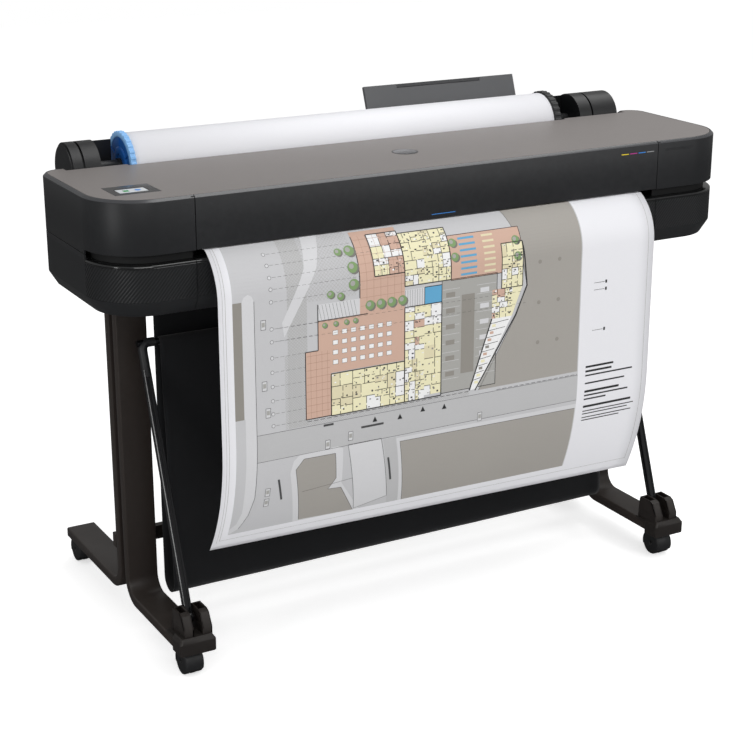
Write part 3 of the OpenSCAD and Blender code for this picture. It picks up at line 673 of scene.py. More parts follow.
def makeCover(name, node, side):
    bm = bmesh.new()
    if side == -1:
        seam = seams[-1]
        steps = [
            (-casing["notchX"], casing["notchY"]), (-casing["scallopX"], casing["notchY"]),
            (-casing["scallopX"], casing["scallopY"]), (seam, casing["scallopY"]),
        ]
    else:
        seam = -seams[1]
        steps = [(-casing["notchX"], casing["notchY"]), (seam, casing["notchY"])]
    mirror = -side
    stations, rimEnd = coverStations(seam, steps)
    sweep(bm, stations, coverProfiles, mirror=mirror)
    # deck under the top plate
    points = [(x, y) for x, y, _ in stations]
    ways = miters(points)
    outline = [(mirror * (p[0] + w.x * 2.5), p[1] + w.y * 2.5) for p, w in zip(points, ways)]
    clean = [outline[0]]
    for point in outline[1:]:
        if (Vector(point) - Vector(clean[-1])).length > 0.05:
            clean.append(point)
    flatPiece(bm, clean, deckZ - 4, deckZ - 0.4)
    # inner wall that closes the slot between the casings, in shadow black as painted shade inside the slot
    slotProfile = {key: [(14, ledgeTop + 0.4), (14, upperFoot + 9), (17, upperFoot + 9), (17, ledgeTop + 0.4)]
                   for key in ("front", "side")}
    sweep(bm, stations[:rimEnd], slotProfile, mirror=mirror, material=1)
    paintRimHighlight(bm, 2)
    piece = makeObject(name, bm, ["casing", "dark", "rim"], 30)
    adopt(piece, "machine", [node])


makeCover("leftEndCover", "left_end_cover", -1)
makeCover("rightEndCover", "right_end_cover", 1)

bm = bmesh.new()
front = rimProfile(windowFoot)
windowOutline = [(y, z) for y, z in front[1:-2]]
windowOutline += [(7, topZ - 3.4), (3.2, topZ - 7), (3.2, windowFoot + 0.6), (2.8, windowFoot)]
extruded(bm, windowOutline, windowLeft, windowRight)
(pinLeft, pinRight), _, _ = span("access_window")
for x0, x1 in ((pinLeft, windowLeft + 0.5), (windowRight - 0.5, pinRight)):
    turned(bm, [(x0, 0), (x0, 1.4), (x1, 1.4), (x1, 0)], 3, topZ - 2.8, 16)
paintRimHighlight(bm, 1)
adopt(makeObject("frontWindow", bm, ["casing", "rim"], 30), "window", ["access_window"])
print("upper casings done")


# lower casing, with a glossy ledge, a ribbed band and a smooth bevel
lowerOuter = [
    (28, ledgeTop), (5.4, ledgeTop), (3.2, ledgeTop - 0.35), (1.5, ledgeTop - 1.1), (0.4, ledgeTop - 2.2),
    (0, ledgeTop - 3.4), (0.3, ledgeTop - 4), (1.3, ledgeTop - 4.4), (1.3, ledgeTop - 5),
    (0.3, ledgeTop - 5.4),
    (0, ledgeTop - 5.8), (0, ledgeTop - 6.4), (1.2, ledgeTop - 6.8),
    (1.2, bodyBottom + 28), (0, bodyBottom + 27.4), (0.4, bodyBottom + 25.6), (14.6, bodyBottom + 2),
    (15.6, bodyBottom + 0.7), (17.4, bodyBottom),
]
lowerInner = [(19.4, bodyBottom + 3), (3.6, bodyBottom + 27.6), (3.6, ledgeTop - 7), (28, ledgeTop - 4)]
lowerProfiles = {
    "plain": lowerInner + lowerOuter,
    "flush": lowerInner + [lowerOuter[0]] + [(0, z) for inset, z in lowerOuter[1:14]] + lowerOuter[14:],
    "groove": lowerInner + [lowerOuter[0]] + [(inset + 1.4, z) for inset, z in lowerOuter[1:]],
}


def fullOutline():
    near, far = casing["corner"], casing["rear"]
    stations = []
    for x in (seams[1], seams[-1]):
        for shift, key in ((0.8, "plain"), (0.5, "groove"), (-0.5, "groove"), (-0.8, "plain")):
            stations.append((x + shift, 0, key))
    crease = math.degrees(math.asin((near - casing["crease"]) / near))
    stations += [(x, y, "plain") for x, y in arcOf(-halfBody + near, near, near, 270, 180 + crease, 28)]
    stations += [(*stations[-1][:2], "flush"), (-halfBody, near, "flush")]
    stations += [(x, y, "flush") for x, y in arcOf(-halfBody + far, bodyBack - far, far, 180, 90, 14)]
    stations += [(x, y, "flush") for x, y in arcOf(halfBody - far, bodyBack - far, far, 90, 0, 14)]
    stations.append((halfBody, near, "flush"))
    turn = [(x, y, "plain") for x, y in arcOf(halfBody - near, near, near, -crease, -90, 28)]
    stations += [(*turn[0][:2], "flush")] + turn
    return stations


bm = bmesh.new()
rings = sweep(bm, fullOutline(), lowerProfiles, closed=True, loopProfile=False)
addFace(bm, [ring[0] for ring in rings])
addFace(bm, [ring[-1] for ring in rings])
# ledge faces in front of the crease take the lip look, darkened as painted shade under the upper casing
for face in bm.faces:
    high = max(v.co.z for v in face.verts) / mm
    inFront = min(v.co.y for v in face.verts) < place(0, casing["crease"] - 1, 0).y
    near = max(abs(v.co.x) / mm for v in face.verts) < halfBody
    if near and inFront and high > ledgeTop - 6.9 and min(v.co.z for v in face.verts) / mm > ledgeTop - 6.9:
        face.material_index = 1
bandProfile = {"side": [
    (0, ledgeTop), (0, ledgeTop + 7), (0.4, ledgeTop + 7.5), (3, ledgeTop + 7.5), (3, ledgeTop),
]}
for mirror in (1, -1):
    near, far = casing["corner"], casing["rear"]
    crease = 180 + math.degrees(math.asin((near - casing["crease"]) / near))
    side = [(x, y, "side") for x, y in arcOf(-halfBody + near, near, near, crease, 180, 2)]
    side += [(x, y, "side") for x, y in arcOf(-halfBody + far, bodyBack - far, far, 180, 90, 14)]
    side.append((-casing["notchX"] - 1, bodyBack, "side"))
    sweep(bm, side, bandProfile, mirror=mirror)
adopt(makeObject("lowerCasing", bm, ["casing", "lip"], 30), "machine", ["lower_casing"])


# diagonal ribs round the front, from one crease to the other
ribs = {"pitch": 6.4, "slope": 50, "land": 0.66, "depth": 0.9, "rows": 10, "gap": 0.9}
ribLow, ribHigh = bodyBottom + 28, ledgeTop - 6.8
arcLength = casing["corner"] * math.acos(1 - casing["crease"] / casing["corner"])
straight = 2 * (halfBody - casing["corner"])
ribEnd = straight + 2 * arcLength


def frontPoint(s, inset, z):
    # s runs from the left crease round the front to the right crease
    near = casing["corner"]
    radius = near - inset
    if s < arcLength:
        angle = (arcLength - s) / near
        return place(-halfBody + near - radius * math.sin(angle), near - radius * math.cos(angle), z)
    if s > arcLength + straight:
        angle = (s - arcLength - straight) / near
        return place(halfBody - near + radius * math.sin(angle), near - radius * math.cos(angle), z)
    return place(-halfBody + near + s - arcLength, inset, z)


bm = bmesh.new()
run = (ribHigh - ribLow) / math.tan(math.radians(ribs["slope"]))
columns = int((ribEnd + run) / ribs["pitch"]) + 2
ribSteps = [(0, 0.05), (ribs["land"], 0.05), ((1 + ribs["land"]) / 2, ribs["depth"])]
grid = []
for j in range(columns):
    for share, inset in ribSteps:
        column = []
        for i in range(ribs["rows"] + 1):
            z = ribLow + (ribHigh - ribLow) * i / ribs["rows"]
            s = -run + (j + share) * ribs["pitch"] + run * i / ribs["rows"]
            column.append(bm.verts.new((s, z, inset)))
        grid.append(column)
gridFaces(bm, grid, closed=False, loop=False)
# the groove faces of the ribs take the shadow black: painted shade along each rib
for face in bm.faces:
    if max(v.co.z for v in face.verts) > ribs["depth"] / 2:
        face.material_index = 1
seamStops = [seams[side] + halfBody - casing["corner"] + arcLength for side in (-1, 1)]
cuts = [0, seamStops[0] - ribs["gap"], seamStops[0] + ribs["gap"],
        seamStops[1] - ribs["gap"], seamStops[1] + ribs["gap"], ribEnd]
for stop in cuts:
    everything = bm.verts[:] + bm.edges[:] + bm.faces[:]
    bmesh.ops.bisect_plane(bm, geom=everything, dist=1e-5, plane_co=(stop, 0, 0), plane_no=(1, 0, 0))
stray = []
for face in bm.faces:
    middle = face.calc_center_median().x
    if not (cuts[0] < middle < cuts[1] or cuts[2] < middle < cuts[3] or cuts[4] < middle < cuts[5]):
        stray.append(face)
bmesh.ops.delete(bm, geom=stray, context="FACES")
for vert in bm.verts:
    vert.co = frontPoint(vert.co.x, vert.co.z, vert.co.y)
ribSkin = makeObject("ribbedBand", bm, ["casing", "dark"], 0, 0.001)
adopt(ribSkin, "machine")
print("lower casing done")


# printed details of the body: colour dashes, a status light, a blank plate and a round badge
def inlay(name, body, bands, look):
    bm = bmesh.new()
    for x0, x1, z0, z1 in bands:
        addBox(bm, x0, x1, -0.12, 0.3, z0, z1)
    adopt(makeObject(name, bm, [look]), body)


looks["yellow"] = plastic("DashYellow", "#e0c51c", 0.4, 0.1, 0.05, 800.0, 0.02, None, 0.0)
looks["magenta"] = plastic("DashMagenta", "#b02a86", 0.4, 0.1, 0.05, 800.0, 0.02, None, 0.0)
looks["cyan"] = plastic("DashBlue", "#2f7fd0", 0.4, 0.1, 0.05, 800.0, 0.02, None, 0.0)
looks["silver"] = plastic("DashGrey", "#8d8e90", 0.4, 0.1, 0.05, 800.0, 0.02, None, 0.0)
dashZ = topZ - 18
for name, x0, x1, look in (
    ("dashYellow", 383, 400, "yellow"), ("dashMagenta", 403, 420, "magenta"),
    ("dashBlue", 423, 440, "cyan"), ("dashGrey", 443, 460, "silver"),
):
    inlay(name, "window", [(x0, x1, dashZ - 0.8, dashZ + 0.8)], look)
inlay("statusLight", "window", [(-37, 13, 793, 794.2)], "cyan")
inlay("blankPlate", "machine", [(488, 556, dashZ - 2.4, dashZ + 2.4)], "satin")

bm = bmesh.new()
ring = arcOf(-6, 150, 25, 0, 360, 48)[:-1]
flatPiece(bm, ring, topZ - 0.2, topZ + 0.25)
flatPiece(bm, arcOf(-6, 150, 22.5, 0, 360, 48)[:-1], topZ + 0.2, topZ + 0.4, 1)
badge = makeObject("topBadge", bm, ["black", "gloss"])
adopt(badge, "machine")


# the screen's display, with two plain signs
screenBox = {"x": (-597, -546), "y": (74.5, 102.5), "z": topZ - 1}
looks["display"] = plastic("DisplayWhite", "#d9dde0", 0.2, 0.04, 0.05, 900.0, 0.0, None, 0.0)
looks["green"] = plastic("SignGreen", "#2f9a4a", 0.25, 0.05, 0.05, 900.0, 0.0, None, 0.0)
bm = bmesh.new()
low = screenBox["z"]
addBox(bm, *screenBox["x"], *screenBox["y"], low - 0.1, low + 0.3)
addBox(bm, -587, -577, 83, 94, low + 0.25, low + 0.45, 1)
flatPiece(bm, [(x, y) for x, y in arcOf(-561, 88.5, 5.5, 0, 360, 24)[:-1]], low + 0.25, low + 0.45, 2)
adopt(makeObject("screenDisplay", bm, ["display", "green", "cyan"]), "machine")


# paper roll, wound in fine rings at its ends
rollY, rollZ = 350, span("spindle")[2][0] + (span("spindle")[2][1] - span("spindle")[2][0]) / 2
(rollLeft, rollRight), _, (rollFoot, rollTop) = span("roll_paper")
rollR = (rollTop - rollFoot) / 2
coreR = (span("roll_core")[2][1] - span("roll_core")[2][0]) / 2


def woundEnd(x, way):
    points = []
    steps = 22
    for i in range(steps + 1):
        radius = coreR + 0.3 + (rollR - 0.8 - coreR) * i / steps
        points.append((x + way * (0.25 + 0.35 * (i % 2)), radius))
    return points


bm = bmesh.new()
profile = [(rollLeft + 3, coreR + 0.2)] + woundEnd(rollLeft, 1) + [(rollLeft + 0.7, rollR)]
profile += [(rollRight - 0.7, rollR)] + woundEnd(rollRight, -1)[::-1] + [(rollRight - 3, coreR + 0.2)]
profile.append(profile[0])
turned(bm, profile, rollY, rollZ, 96)
adopt(makeObject("paperRoll", bm, ["paperWhite"], 50, 0.001), "paper_roll", ["roll_paper"])


# hubs: a notched rim, a dished face and a plug inside the core
def makeHub(name, node, flange, plug, face, rim):
    bm = bmesh.new()
    outer, inner = flange
    way = 1 if inner > outer else -1
    radius = (span(node)[2][1] - span(node)[2][0]) / 2
    segments = 192
    def notch(i):
        return 1.0 if i % 6 < 3 else (radius - 1.5) / radius
    rimPoints = [
        (outer + way * 1.4, 50), (outer + way * 0.3, 51), (outer, 52), (outer, radius - 2.4),
        (outer + way * 1.2, radius),
        (inner - way * 1.2, radius), (inner, radius - 2), (inner, 50), (outer + way * 1.4, 50),
    ]
    turned(bm, rimPoints, rollY, rollZ, segments, 1, notch)
    facePoints = [
        (inner - way * 0.5, 50), (outer + way * 2.2, 50), (outer + way * 2.2, 33), (outer + way * 0.8, 31),
        (outer + way * 0.2, 29.5), (outer + way * 0.2, 19), (outer + way * 1.6, 17.5),
        (outer + way * 1.6, 12.2),
        (plug, 12.2), (plug, coreR - 4.4), (plug - way * 1.5, coreR - 3.4), (inner, coreR - 3.4),
        (inner - way * 0.5, 30), (inner - way * 0.5, 50),
    ]
    turned(bm, facePoints, rollY, rollZ, 96, 0)
    for i in range(6):
        turn = Matrix.Translation(place(0, rollY, rollZ)) @ Matrix.Rotation(math.pi * i / 3, 4, "X")
        turn = turn @ Matrix.Translation(-place(0, rollY, rollZ))
        x0, x1 = sorted((outer + way * 0.6, outer + way * 3))
        addBox(bm, x0, x1, rollY - 1.2, rollY + 1.2, rollZ + 30, rollZ + 51, 0, turn)
    adopt(makeObject(name, bm, [face, rim], 35, 0.001), "paper_roll", [node])


(hub0, hub1), _, _ = span("left_hub")
makeHub("leftHub", "left_hub", (hub0, rollLeft - 0.3), hub1, "blue", "rimBlue")
(hub0, hub1), _, _ = span("right_hub")
makeHub("rightHub", "right_hub", (hub1, rollRight + 0.3), hub0, "black", "satin")
print("roll done")


# printed sheet: in from the roll, over the ledge, and down in one bend to its curled end
sheetZ = 783.5
sheetPlan = {
    "width": rollRight - rollLeft, "turn": 96, "exit": 30, "curlFrom": 440, "curlDrop": 218,
    "curlLeft": 71, "curlRight": 50, "thick": 0.28,
}
turnLength = sheetPlan["turn"] * math.radians(90 - sheetPlan["exit"])
hangZ = sheetZ - sheetPlan["turn"] * math.cos(math.radians(sheetPlan["exit"]))
bulge = sheetPlan["turn"] * (1 - math.sin(math.radians(sheetPlan["exit"])))
hangLength = hangZ - sheetPlan["curlFrom"]
curlLength = 230.7
insideLength = 240


def curlPoint(v, depth):
    # where an arc of the curl's length ends depth behind the hanging part
    drop = sheetPlan["curlDrop"]
    half = math.atan(depth / drop)
    radius = curlLength / (2 * half)
    angle = (v / curlLength) * 2 * half
    return radius * (1 - math.cos(angle)), radius * math.sin(angle), angle


def sidePoint(v, depth):
    # (y, z) and the outward normal of the sheet at length v past the exit
    if v < 0:
        return Vector((-v, sheetZ)), Vector((0, 1))
    if v < turnLength:
        angle = math.radians(sheetPlan["exit"]) + v / sheetPlan["turn"]
        start = math.radians(sheetPlan["exit"])
        radius = sheetPlan["turn"]
        y = -radius * (math.sin(angle) - math.sin(start))
        z = sheetZ - radius * (math.cos(start) - math.cos(angle))
        return Vector((y, z)), Vector((-math.sin(angle), math.cos(angle)))
    v -= turnLength
    if v < hangLength:
        return Vector((-bulge, hangZ - v)), Vector((-1, 0))
    y, fall, angle = curlPoint(v - hangLength, depth)
    return Vector((-bulge + y, sheetPlan["curlFrom"] - fall)), Vector((-math.cos(angle), -math.sin(angle)))


def sheetPoint(u, v, lift):
    share = u / sheetPlan["width"]
    left, outLeft = sidePoint(v, sheetPlan["curlLeft"])
    right, outRight = sidePoint(v, sheetPlan["curlRight"])
    spot = left.lerp(right, share)
    out = outLeft.lerp(outRight, share).normalized()
    if v < 0:
        out = Vector((0, 1))
    spot = spot + out * lift
    return place(rollLeft + u, spot.x, spot.y)


def sheetStops():
    stops = [turnLength * i / 16 for i in range(17)]
    stops += [turnLength + hangLength * i / 4 for i in range(1, 4)]
    stops += [turnLength + hangLength + curlLength * i / 20 for i in range(21)]
    return stops


bm = bmesh.new()
columns = [sheetPlan["width"] * i / 24 for i in range(25)]
webAngle = math.radians(-77)
webEnd = Vector((rollY + rollR * math.cos(webAngle), rollZ + rollR * math.sin(webAngle)))
rows = []
for i in range(9):
    spot = webEnd.lerp(Vector((insideLength, sheetZ)), i / 8)
    rows.append([bm.verts.new(place(rollLeft + u, spot.x, spot.y)) for u in columns])
rows += [[bm.verts.new(sheetPoint(u, v, 0)) for u in columns] for v in [-180, -120, -60, -20] + sheetStops()]
gridFaces(bm, rows, loop=False)
printedSheet = makeObject("printedSheet", bm, ["paperWhite"], 50, 0.001)
thick = printedSheet.modifiers.new("Thickness", "SOLIDIFY")
thick.thickness = sheetPlan["thick"] * mm
thick.offset = 0
adopt(printedSheet, "machine", ["printed_sheet"])


# the plan printed on the sheet, layer by layer, in millimetres from the sheet's left edge and its exit
printLooks = {
    "ground": "#c1c1c3", "street": "#b9b9ba", "white": "#ececec", "line": "#4a4a4b", "warm": "#a19d97",
    "deep": "#8f8b84", "brick": "#cba997", "brickDark": "#ae8877", "yellow": "#e9e3bd", "pool": "#5ba3cb",
    "leaf": "#7d9b66", "shade": "#77766f", "park": "#a5a4a0", "ink": "#2a2a2b", "pale": "#d0d0d2",
    "tile": "#dcd3b0",
}
for key, code in printLooks.items():
    looks["print" + key] = paper("Print" + key.title(), code, 0.6, 0.05)
printKeys = list(printLooks)
layerStep = 0.05
flatBm = bmesh.new()


def ink(points, layer, key):
    verts = [flatBm.verts.new((u, v, layer)) for u, v in points]
    face = flatBm.faces.new(verts)
    face.material_index = printKeys.index(key)


def inkBox(u0, v0, u1, v1, layer, key):
    ink([(u0, v0), (u1, v0), (u1, v1), (u0, v1)], layer, key)


def inkLine(u0, v0, u1, v1, width, layer, key="line"):
    way = Vector((u1 - u0, v1 - v0)).normalized()
    side = Vector((-way.y, way.x)) * width / 2
    a, b = Vector((u0, v0)), Vector((u1, v1))
    ink([tuple(a + side), tuple(b + side), tuple(b - side), tuple(a - side)], layer, key)


def inkDisc(u, v, radius, layer, key, sides=12):
    ink(arcOf(u, v, radius, 0, 360, sides)[:-1], layer, key)


def inkFrame(u0, v0, u1, v1, width, layer, key="line"):
    for edge in ((u0, v0, u1, v0), (u1, v0, u1, v1), (u1, v1, u0, v1), (u0, v1, u0, v0)):
        inkLine(*edge, width, layer, key)


def dashed(u0, v0, u1, v1, dash, space, width, layer, key="line"):
    way = Vector((u1 - u0, v1 - v0))
    length = way.length
    way.normalize()
    at = 0.0
    while at < length:
        stop = min(at + dash, length)
        inkLine(u0 + way.x * at, v0 + way.y * at, u0 + way.x * stop, v0 + way.y * stop, width, layer, key)
        at += dash + space


def tree(u, v, radius, layer):
    inkDisc(u + radius * 0.35, v + radius * 0.3, radius, layer, "shade")
    inkDisc(u, v, radius, layer + 1, "leaf")
    inkDisc(u - radius * 0.2, v - radius * 0.2, radius * 0.5, layer + 2, "park", 8)


draw = random.Random(11)


def suite(u0, v0, u1, v1, depth, layer, fills):
    # rooms split again and again, with door gaps in the walls and a little furniture
    wide, tall = u1 - u0, v1 - v0
    if depth == 0 or max(wide, tall) < 16:
        inkBox(u0, v0, u1, v1, layer, draw.choice(fills))
        for _ in range(draw.randint(1, 3)):
            long, deep = draw.uniform(1.5, 4.5), draw.uniform(1.2, 3.5)
            a = draw.uniform(u0 + 1, max(u0 + 1.2, u1 - long - 1))
            b = draw.uniform(v0 + 1, max(v0 + 1.2, v1 - deep - 1))
            inkBox(a, b, a + long, b + deep, layer + 2, draw.choice(["ink", "white", "deep", "line"]))
        return
    share = draw.uniform(0.36, 0.64)
    gap = draw.uniform(0.15, 0.7)
    if wide > tall:
        middle = u0 + wide * share
        suite(u0, v0, middle, v1, depth - 1, layer, fills)
        suite(middle, v0, u1, v1, depth - 1, layer, fills)
        inkLine(middle, v0, middle, v0 + tall * gap, 1.1, layer + 3, "ink")
        if tall * (1 - gap) > 6:
            inkLine(middle, v0 + tall * gap + 4, middle, v1, 1.1, layer + 3, "ink")
    else:
        middle = v0 + tall * share
        suite(u0, v0, u1, middle, depth - 1, layer, fills)
        suite(u0, middle, u1, v1, depth - 1, layer, fills)
        inkLine(u0, middle, u0 + wide * gap, middle, 1.1, layer + 3, "ink")
        if wide * (1 - gap) > 6:
            inkLine(u0 + wide * gap + 4, middle, u1, middle, 1.1, layer + 3, "ink")


def hatch(u0, v0, u1, v1, pitch, width, layer, key):
    # crossing slanted lines cut to a box
    reach = v1 - v0
    at = u0 - reach
    while at < u1:
        for start, end in ((at, at + reach), (at + reach, at)):
            near, far = (u0, u1) if end > start else (u1, u0)
            a = max(0.0, (near - start) / (end - start))
            b = min(1.0, (far - start) / (end - start))
            if b - a > 0.01:
                inkLine(start + (end - start) * a, v0 + reach * a, start + (end - start) * b, v0 + reach * b,
                        width, layer, key)
        at += pitch


# ground, margins and the blocks round the site
inkBox(26, -30, 746, 552, 1, "ground")
inkBox(26, 103, 43, 313, 3, "deep")
ink([
    (43, 104), (47, 95), (55, 91), (62, 95), (66, 104), (66, 470), (58, 510), (44, 540), (26, 552), (26, 538),
    (38, 526), (45, 500), (45, 313), (43, 313),
], 2, "pale")
inkBox(128, -10, 166, 345, 2, "street")
hatch(128, -10, 166, 210, 6, 0.35, 3, "park")
hatch(122, 210, 166, 345, 5, 0.35, 3, "park")
hatch(166, -10, 262, 120, 7, 0.3, 3, "park")
hatch(166, 334, 500, 346, 4, 0.35, 3, "park")
ink([(180, -12), (213, -12), (190, 60), (122, 176), (118, 150), (165, 60)], 4, "pale")
ink([(583, -30), (744, -30), (744, 339), (520, 339), (600, 205), (622, 151)], 2, "warm")
inkBox(66, 347, 746, 398, 2, "street")
pavement = [(150, 398), (225, 396), (236, 402), (240, 476), (290, 552), (154, 552), (132, 432), (138, 408)]
ink(pavement, 3, "pale")
block = [(158, 408), (221, 409), (227, 462), (213, 484), (240, 486), (277, 552), (165, 549), (143, 427)]
ink(block, 4, "warm")
ink([(246, 397), (314, 397), (344, 532), (278, 549)], 3, "pale")
ink([(346, 403), (746, 406), (746, 552), (372, 552)], 3, "pale")
ink([(354, 411), (744, 415), (744, 552), (380, 552)], 4, "warm")
ink([(318, 400), (344, 400), (374, 552), (348, 552)], 2, "street")
for v in (347, 398):
    inkLine(66, v, 746, v, 0.7, 3)
inkLine(8, -30, 8, 572, 0.5, 1, "park")
inkLine(13, -30, 13, 566, 0.7, 1, "park")
inkLine(13, 566, 901, 566, 0.7, 1, "park")
inkLine(901, -30, 901, 566, 0.7, 1, "park")
inkLine(160, 478, 262, 470, 0.6, 5)
# the block outlines
for block in (
    [(158, 408), (221, 409), (227, 462), (213, 484), (240, 486), (277, 552)],
    [(354, 411), (744, 415)], [(246, 397), (314, 397), (344, 532), (278, 549), (246, 397)],
    [(583, -30), (622, 151), (600, 205), (520, 339)], [(354, 411), (380, 552)],
    [(165, 549), (143, 427), (158, 408)], [(66, 104), (66, 470), (58, 510), (44, 540)],
):
    for start, end in zip(block, block[1:]):
        inkLine(*start, *end, 0.8, 5)
# grid bubbles with dashed leaders
bubbleV = [26, 47, 68, 88, 110, 158, 181, 210, 236, 262, 288, 312, 334]
for v in bubbleV:
    inkDisc(98, v, 3.6, 3, "line")
    inkDisc(98, v, 2.9, 4, "pale")
    dashed(103, v, 300, v, 7, 4, 0.45, 4)
for v in (158, 181):
    dashed(110, v, 620, v + 3, 7, 5, 0.4, 14, "line")
# bays along the left pavement, and cars
for u, v in ((78, 140), (78, 250), (84, 300), (86, 455), (86, 478), (200, 380), (246, 372), (520, 384)):
    inkBox(u, v, u + 9, v + 17, 4, "pale")
    inkFrame(u, v, u + 9, v + 17, 0.8, 5)
    inkBox(u + 1.6, v + 4, u + 7.4, v + 12, 5, "park")
# brick building on the left, with its restaurant
inkBox(162, 210, 187, 334, 5, "brick")
inkBox(187, 255, 212, 334, 5, "brick")
inkBox(187, 157, 361, 255, 5, "brick")
inkBox(270, 4, 361, 157, 5, "brick")
inkBox(187, 127, 270, 157, 5, "pale")
for i in range(11):
    inkLine(188 + i * 7, 128, 194 + i * 7, 156, 0.5, 6)
for edge in (
    (162, 334, 162, 210), (162, 210, 187, 210), (187, 210, 187, 157), (187, 157, 286, 157),
    (270, 127, 270, 14), (162, 334, 212, 334), (187, 127, 187, 157),
):
    inkLine(*edge, 1.6, 7, "ink")
for row in range(4):
    for column in range(7):
        u, v = 216 + column * 18, 178 + row * 18
        inkBox(u, v, u + 10, v + 8, 7, "white")
        inkFrame(u, v, u + 10, v + 8, 0.5, 8)
for u in (200, 222, 243, 261):
    tree(u, 166, 5, 7)
for row in range(9):
    inkLine(164, 218 + row * 13, 210, 218 + row * 13, 0.6, 7, "brickDark")
for column in range(4):
    inkLine(172 + column * 11, 212, 172 + column * 11, 332, 0.5, 7, "brickDark")
for row in range(9):
    inkLine(272, 22 + row * 15, 360, 22 + row * 15, 0.5, 7, "brickDark")
for column in range(6):
    inkLine(284 + column * 14, 14, 284 + column * 14, 156, 0.5, 7, "brickDark")
for v in (40, 70, 100):
    tree(258, v, 10, 9)
for u in (290, 312, 334, 356):
    tree(u, 142, 9, 9)
for u, v in ((236, 40), (232, 118), (212, 112)):
    tree(u, v, 7, 9)
# rooms
warmFills = ["yellow", "yellow", "yellow", "yellow", "yellow", "tile", "white"]
mixedFills = ["white", "yellow", "yellow", "white", "brick"]
for box in (
    (212, 257, 300, 335, 4), (300, 256, 361, 335, 4), (361, 256, 402, 335, 4), (361, 20, 402, 118, 4),
    (402, 20, 457, 118, 5), (402, 235, 438, 329, 3),
):
    suite(*box, 6, warmFills)
for box in ((361, 157, 402, 256, 4), (402, 157, 438, 235, 3), (300, 14, 361, 92, 4)):
    suite(*box, 6, mixedFills)
for u0, v0, u1, v1 in (
    (212, 257, 361, 335), (361, 157, 438, 335), (361, 20, 457, 118), (300, 14, 361, 92),
):
    inkFrame(u0, v0, u1, v1, 1.8, 11, "ink")
inkBox(402, 125, 438, 157, 6, "pool")
inkFrame(402, 125, 438, 157, 1.4, 7, "ink")
inkBox(361, 125, 402, 157, 6, "pale")
for i in range(8):
    inkLine(362 + i * 5, 126, 362 + i * 5, 156, 0.5, 7)
# car park and the terrace with its strips
inkBox(438, 118, 556, 332, 5, "park")
inkFrame(438, 118, 556, 332, 1.2, 6, "ink")
for row in range(11):
    inkLine(440, 136 + row * 17, 476, 136 + row * 17, 0.6, 6, "pale")
    inkLine(512, 136 + row * 17, 554, 136 + row * 17, 0.6, 6, "pale")
for row in range(6):
    inkBox(447, 142 + row * 30, 466, 151 + row * 30, 7, "deep")
    inkBox(520, 142 + row * 30, 539, 151 + row * 30, 7, "pale")
ink([(480, 150), (508, 150), (508, 300), (480, 300)], 6, "deep")
inkBox(457, 38, 610, 120, 6, "brick")
inkFrame(457, 38, 610, 120, 1.2, 7, "ink")
for row in range(7):
    inkBox(478, 44 + row * 11, 512, 48 + row * 11, 8, "pool")
    inkBox(528, 44 + row * 11, 552, 48 + row * 11, 8, "tile")
for u, v in ((465, 52), (466, 78), (598, 62), (600, 92)):
    tree(u, v, 8, 9)
# narrow building along the slanted street
suite(566, 66, 612, 150, 4, 8, warmFills)
suite(546, 150, 590, 205, 4, 8, mixedFills)
ink([(590, 150), (612, 150), (596, 190), (590, 205)], 8, "yellow")
ink([(546, 205), (590, 205), (516, 336), (500, 336)], 8, "white")
for i in range(9):
    v = 214 + i * 13
    left = 546 - (v - 205) * 0.35
    inkLine(left, v, 588 - (v - 205) * 0.57, v - 3, 1.0, 10, "ink")
    inkBox(left + 4, v + 2, left + 12, v + 7, 10, draw.choice(["yellow", "brick", "deep"]))
inkFrame(566, 66, 612, 150, 1.6, 12, "ink")
for start, end in (
    ((622, 151), (598, 205)), ((598, 205), (512, 338)), ((546, 205), (500, 336)), ((612, 66), (622, 151)),
):
    inkLine(*start, *end, 2.4, 12, "ink")
# small shrubs in the grey block, and dotted notes as plain marks
for row in range(3):
    for column in range(2):
        inkDisc(650 + column * 44, 110 + row * 78, 4, 4, "deep")
dashed(164, 338, 500, 338, 9, 4, 0.8, 6, "ink")
dashed(560, 345, 744, 345, 9, 4, 0.8, 6, "line")
for u, v in ((300, 352), (352, 356), (400, 350), (446, 353)):
    ink([(u, v), (u + 5, v + 10), (u - 5, v + 10)], 6, "ink")
# plain bars where a title column would be
for v, length, height in (
    (332, 66, 4), (341, 62, 4), (350, 112, 3), (366, 94, 3), (382, 82, 4.5), (391, 104, 3), (399, 52, 3),
    (414, 114, 4.5), (425, 122, 2), (431, 108, 2), (439, 118, 2), (445, 90, 2),
):
    inkBox(764, v, 764 + length, v + height, 3, "ink")
for v in (168, 182, 262):
    inkLine(776, v, 800, v, 0.8, 3)
    inkBox(802, v - 3, 806, v + 3, 3, "ink")
for u, v, length in ((272, 366, 46), (196, 349, 20)):
    inkBox(u, v, u + length, v + 4, 5, "line")
ink([(108, 440), (112, 440), (122, 486), (118, 486)], 5, "line")
ink([(330, 440), (334, 440), (346, 492), (342, 492)], 5, "line")

stops = sheetStops()
for stop in stops[:-1]:
    everything = flatBm.verts[:] + flatBm.edges[:] + flatBm.faces[:]
    bmesh.ops.bisect_plane(flatBm, geom=everything, dist=1e-4, plane_co=(0, stop, 0), plane_no=(0, 1, 0))
for stop in columns[1:-1]:
    everything = flatBm.verts[:] + flatBm.edges[:] + flatBm.faces[:]
    bmesh.ops.bisect_plane(flatBm, geom=everything, dist=1e-4, plane_co=(stop, 0, 0), plane_no=(1, 0, 0))
for vert in flatBm.verts:
    lift = sheetPlan["thick"] / 2 + 0.02 + layerStep * vert.co.z
    vert.co = sheetPoint(vert.co.x, vert.co.y, lift)
mesh = bpy.data.meshes.new("printedPlan")
flatBm.to_mesh(mesh)
flatBm.free()
for key in printKeys:
    mesh.materials.append(looks["print" + key])
printedPlan = bpy.data.objects.new("printedPlan", mesh)
scene.collection.objects.link(printedPlan)
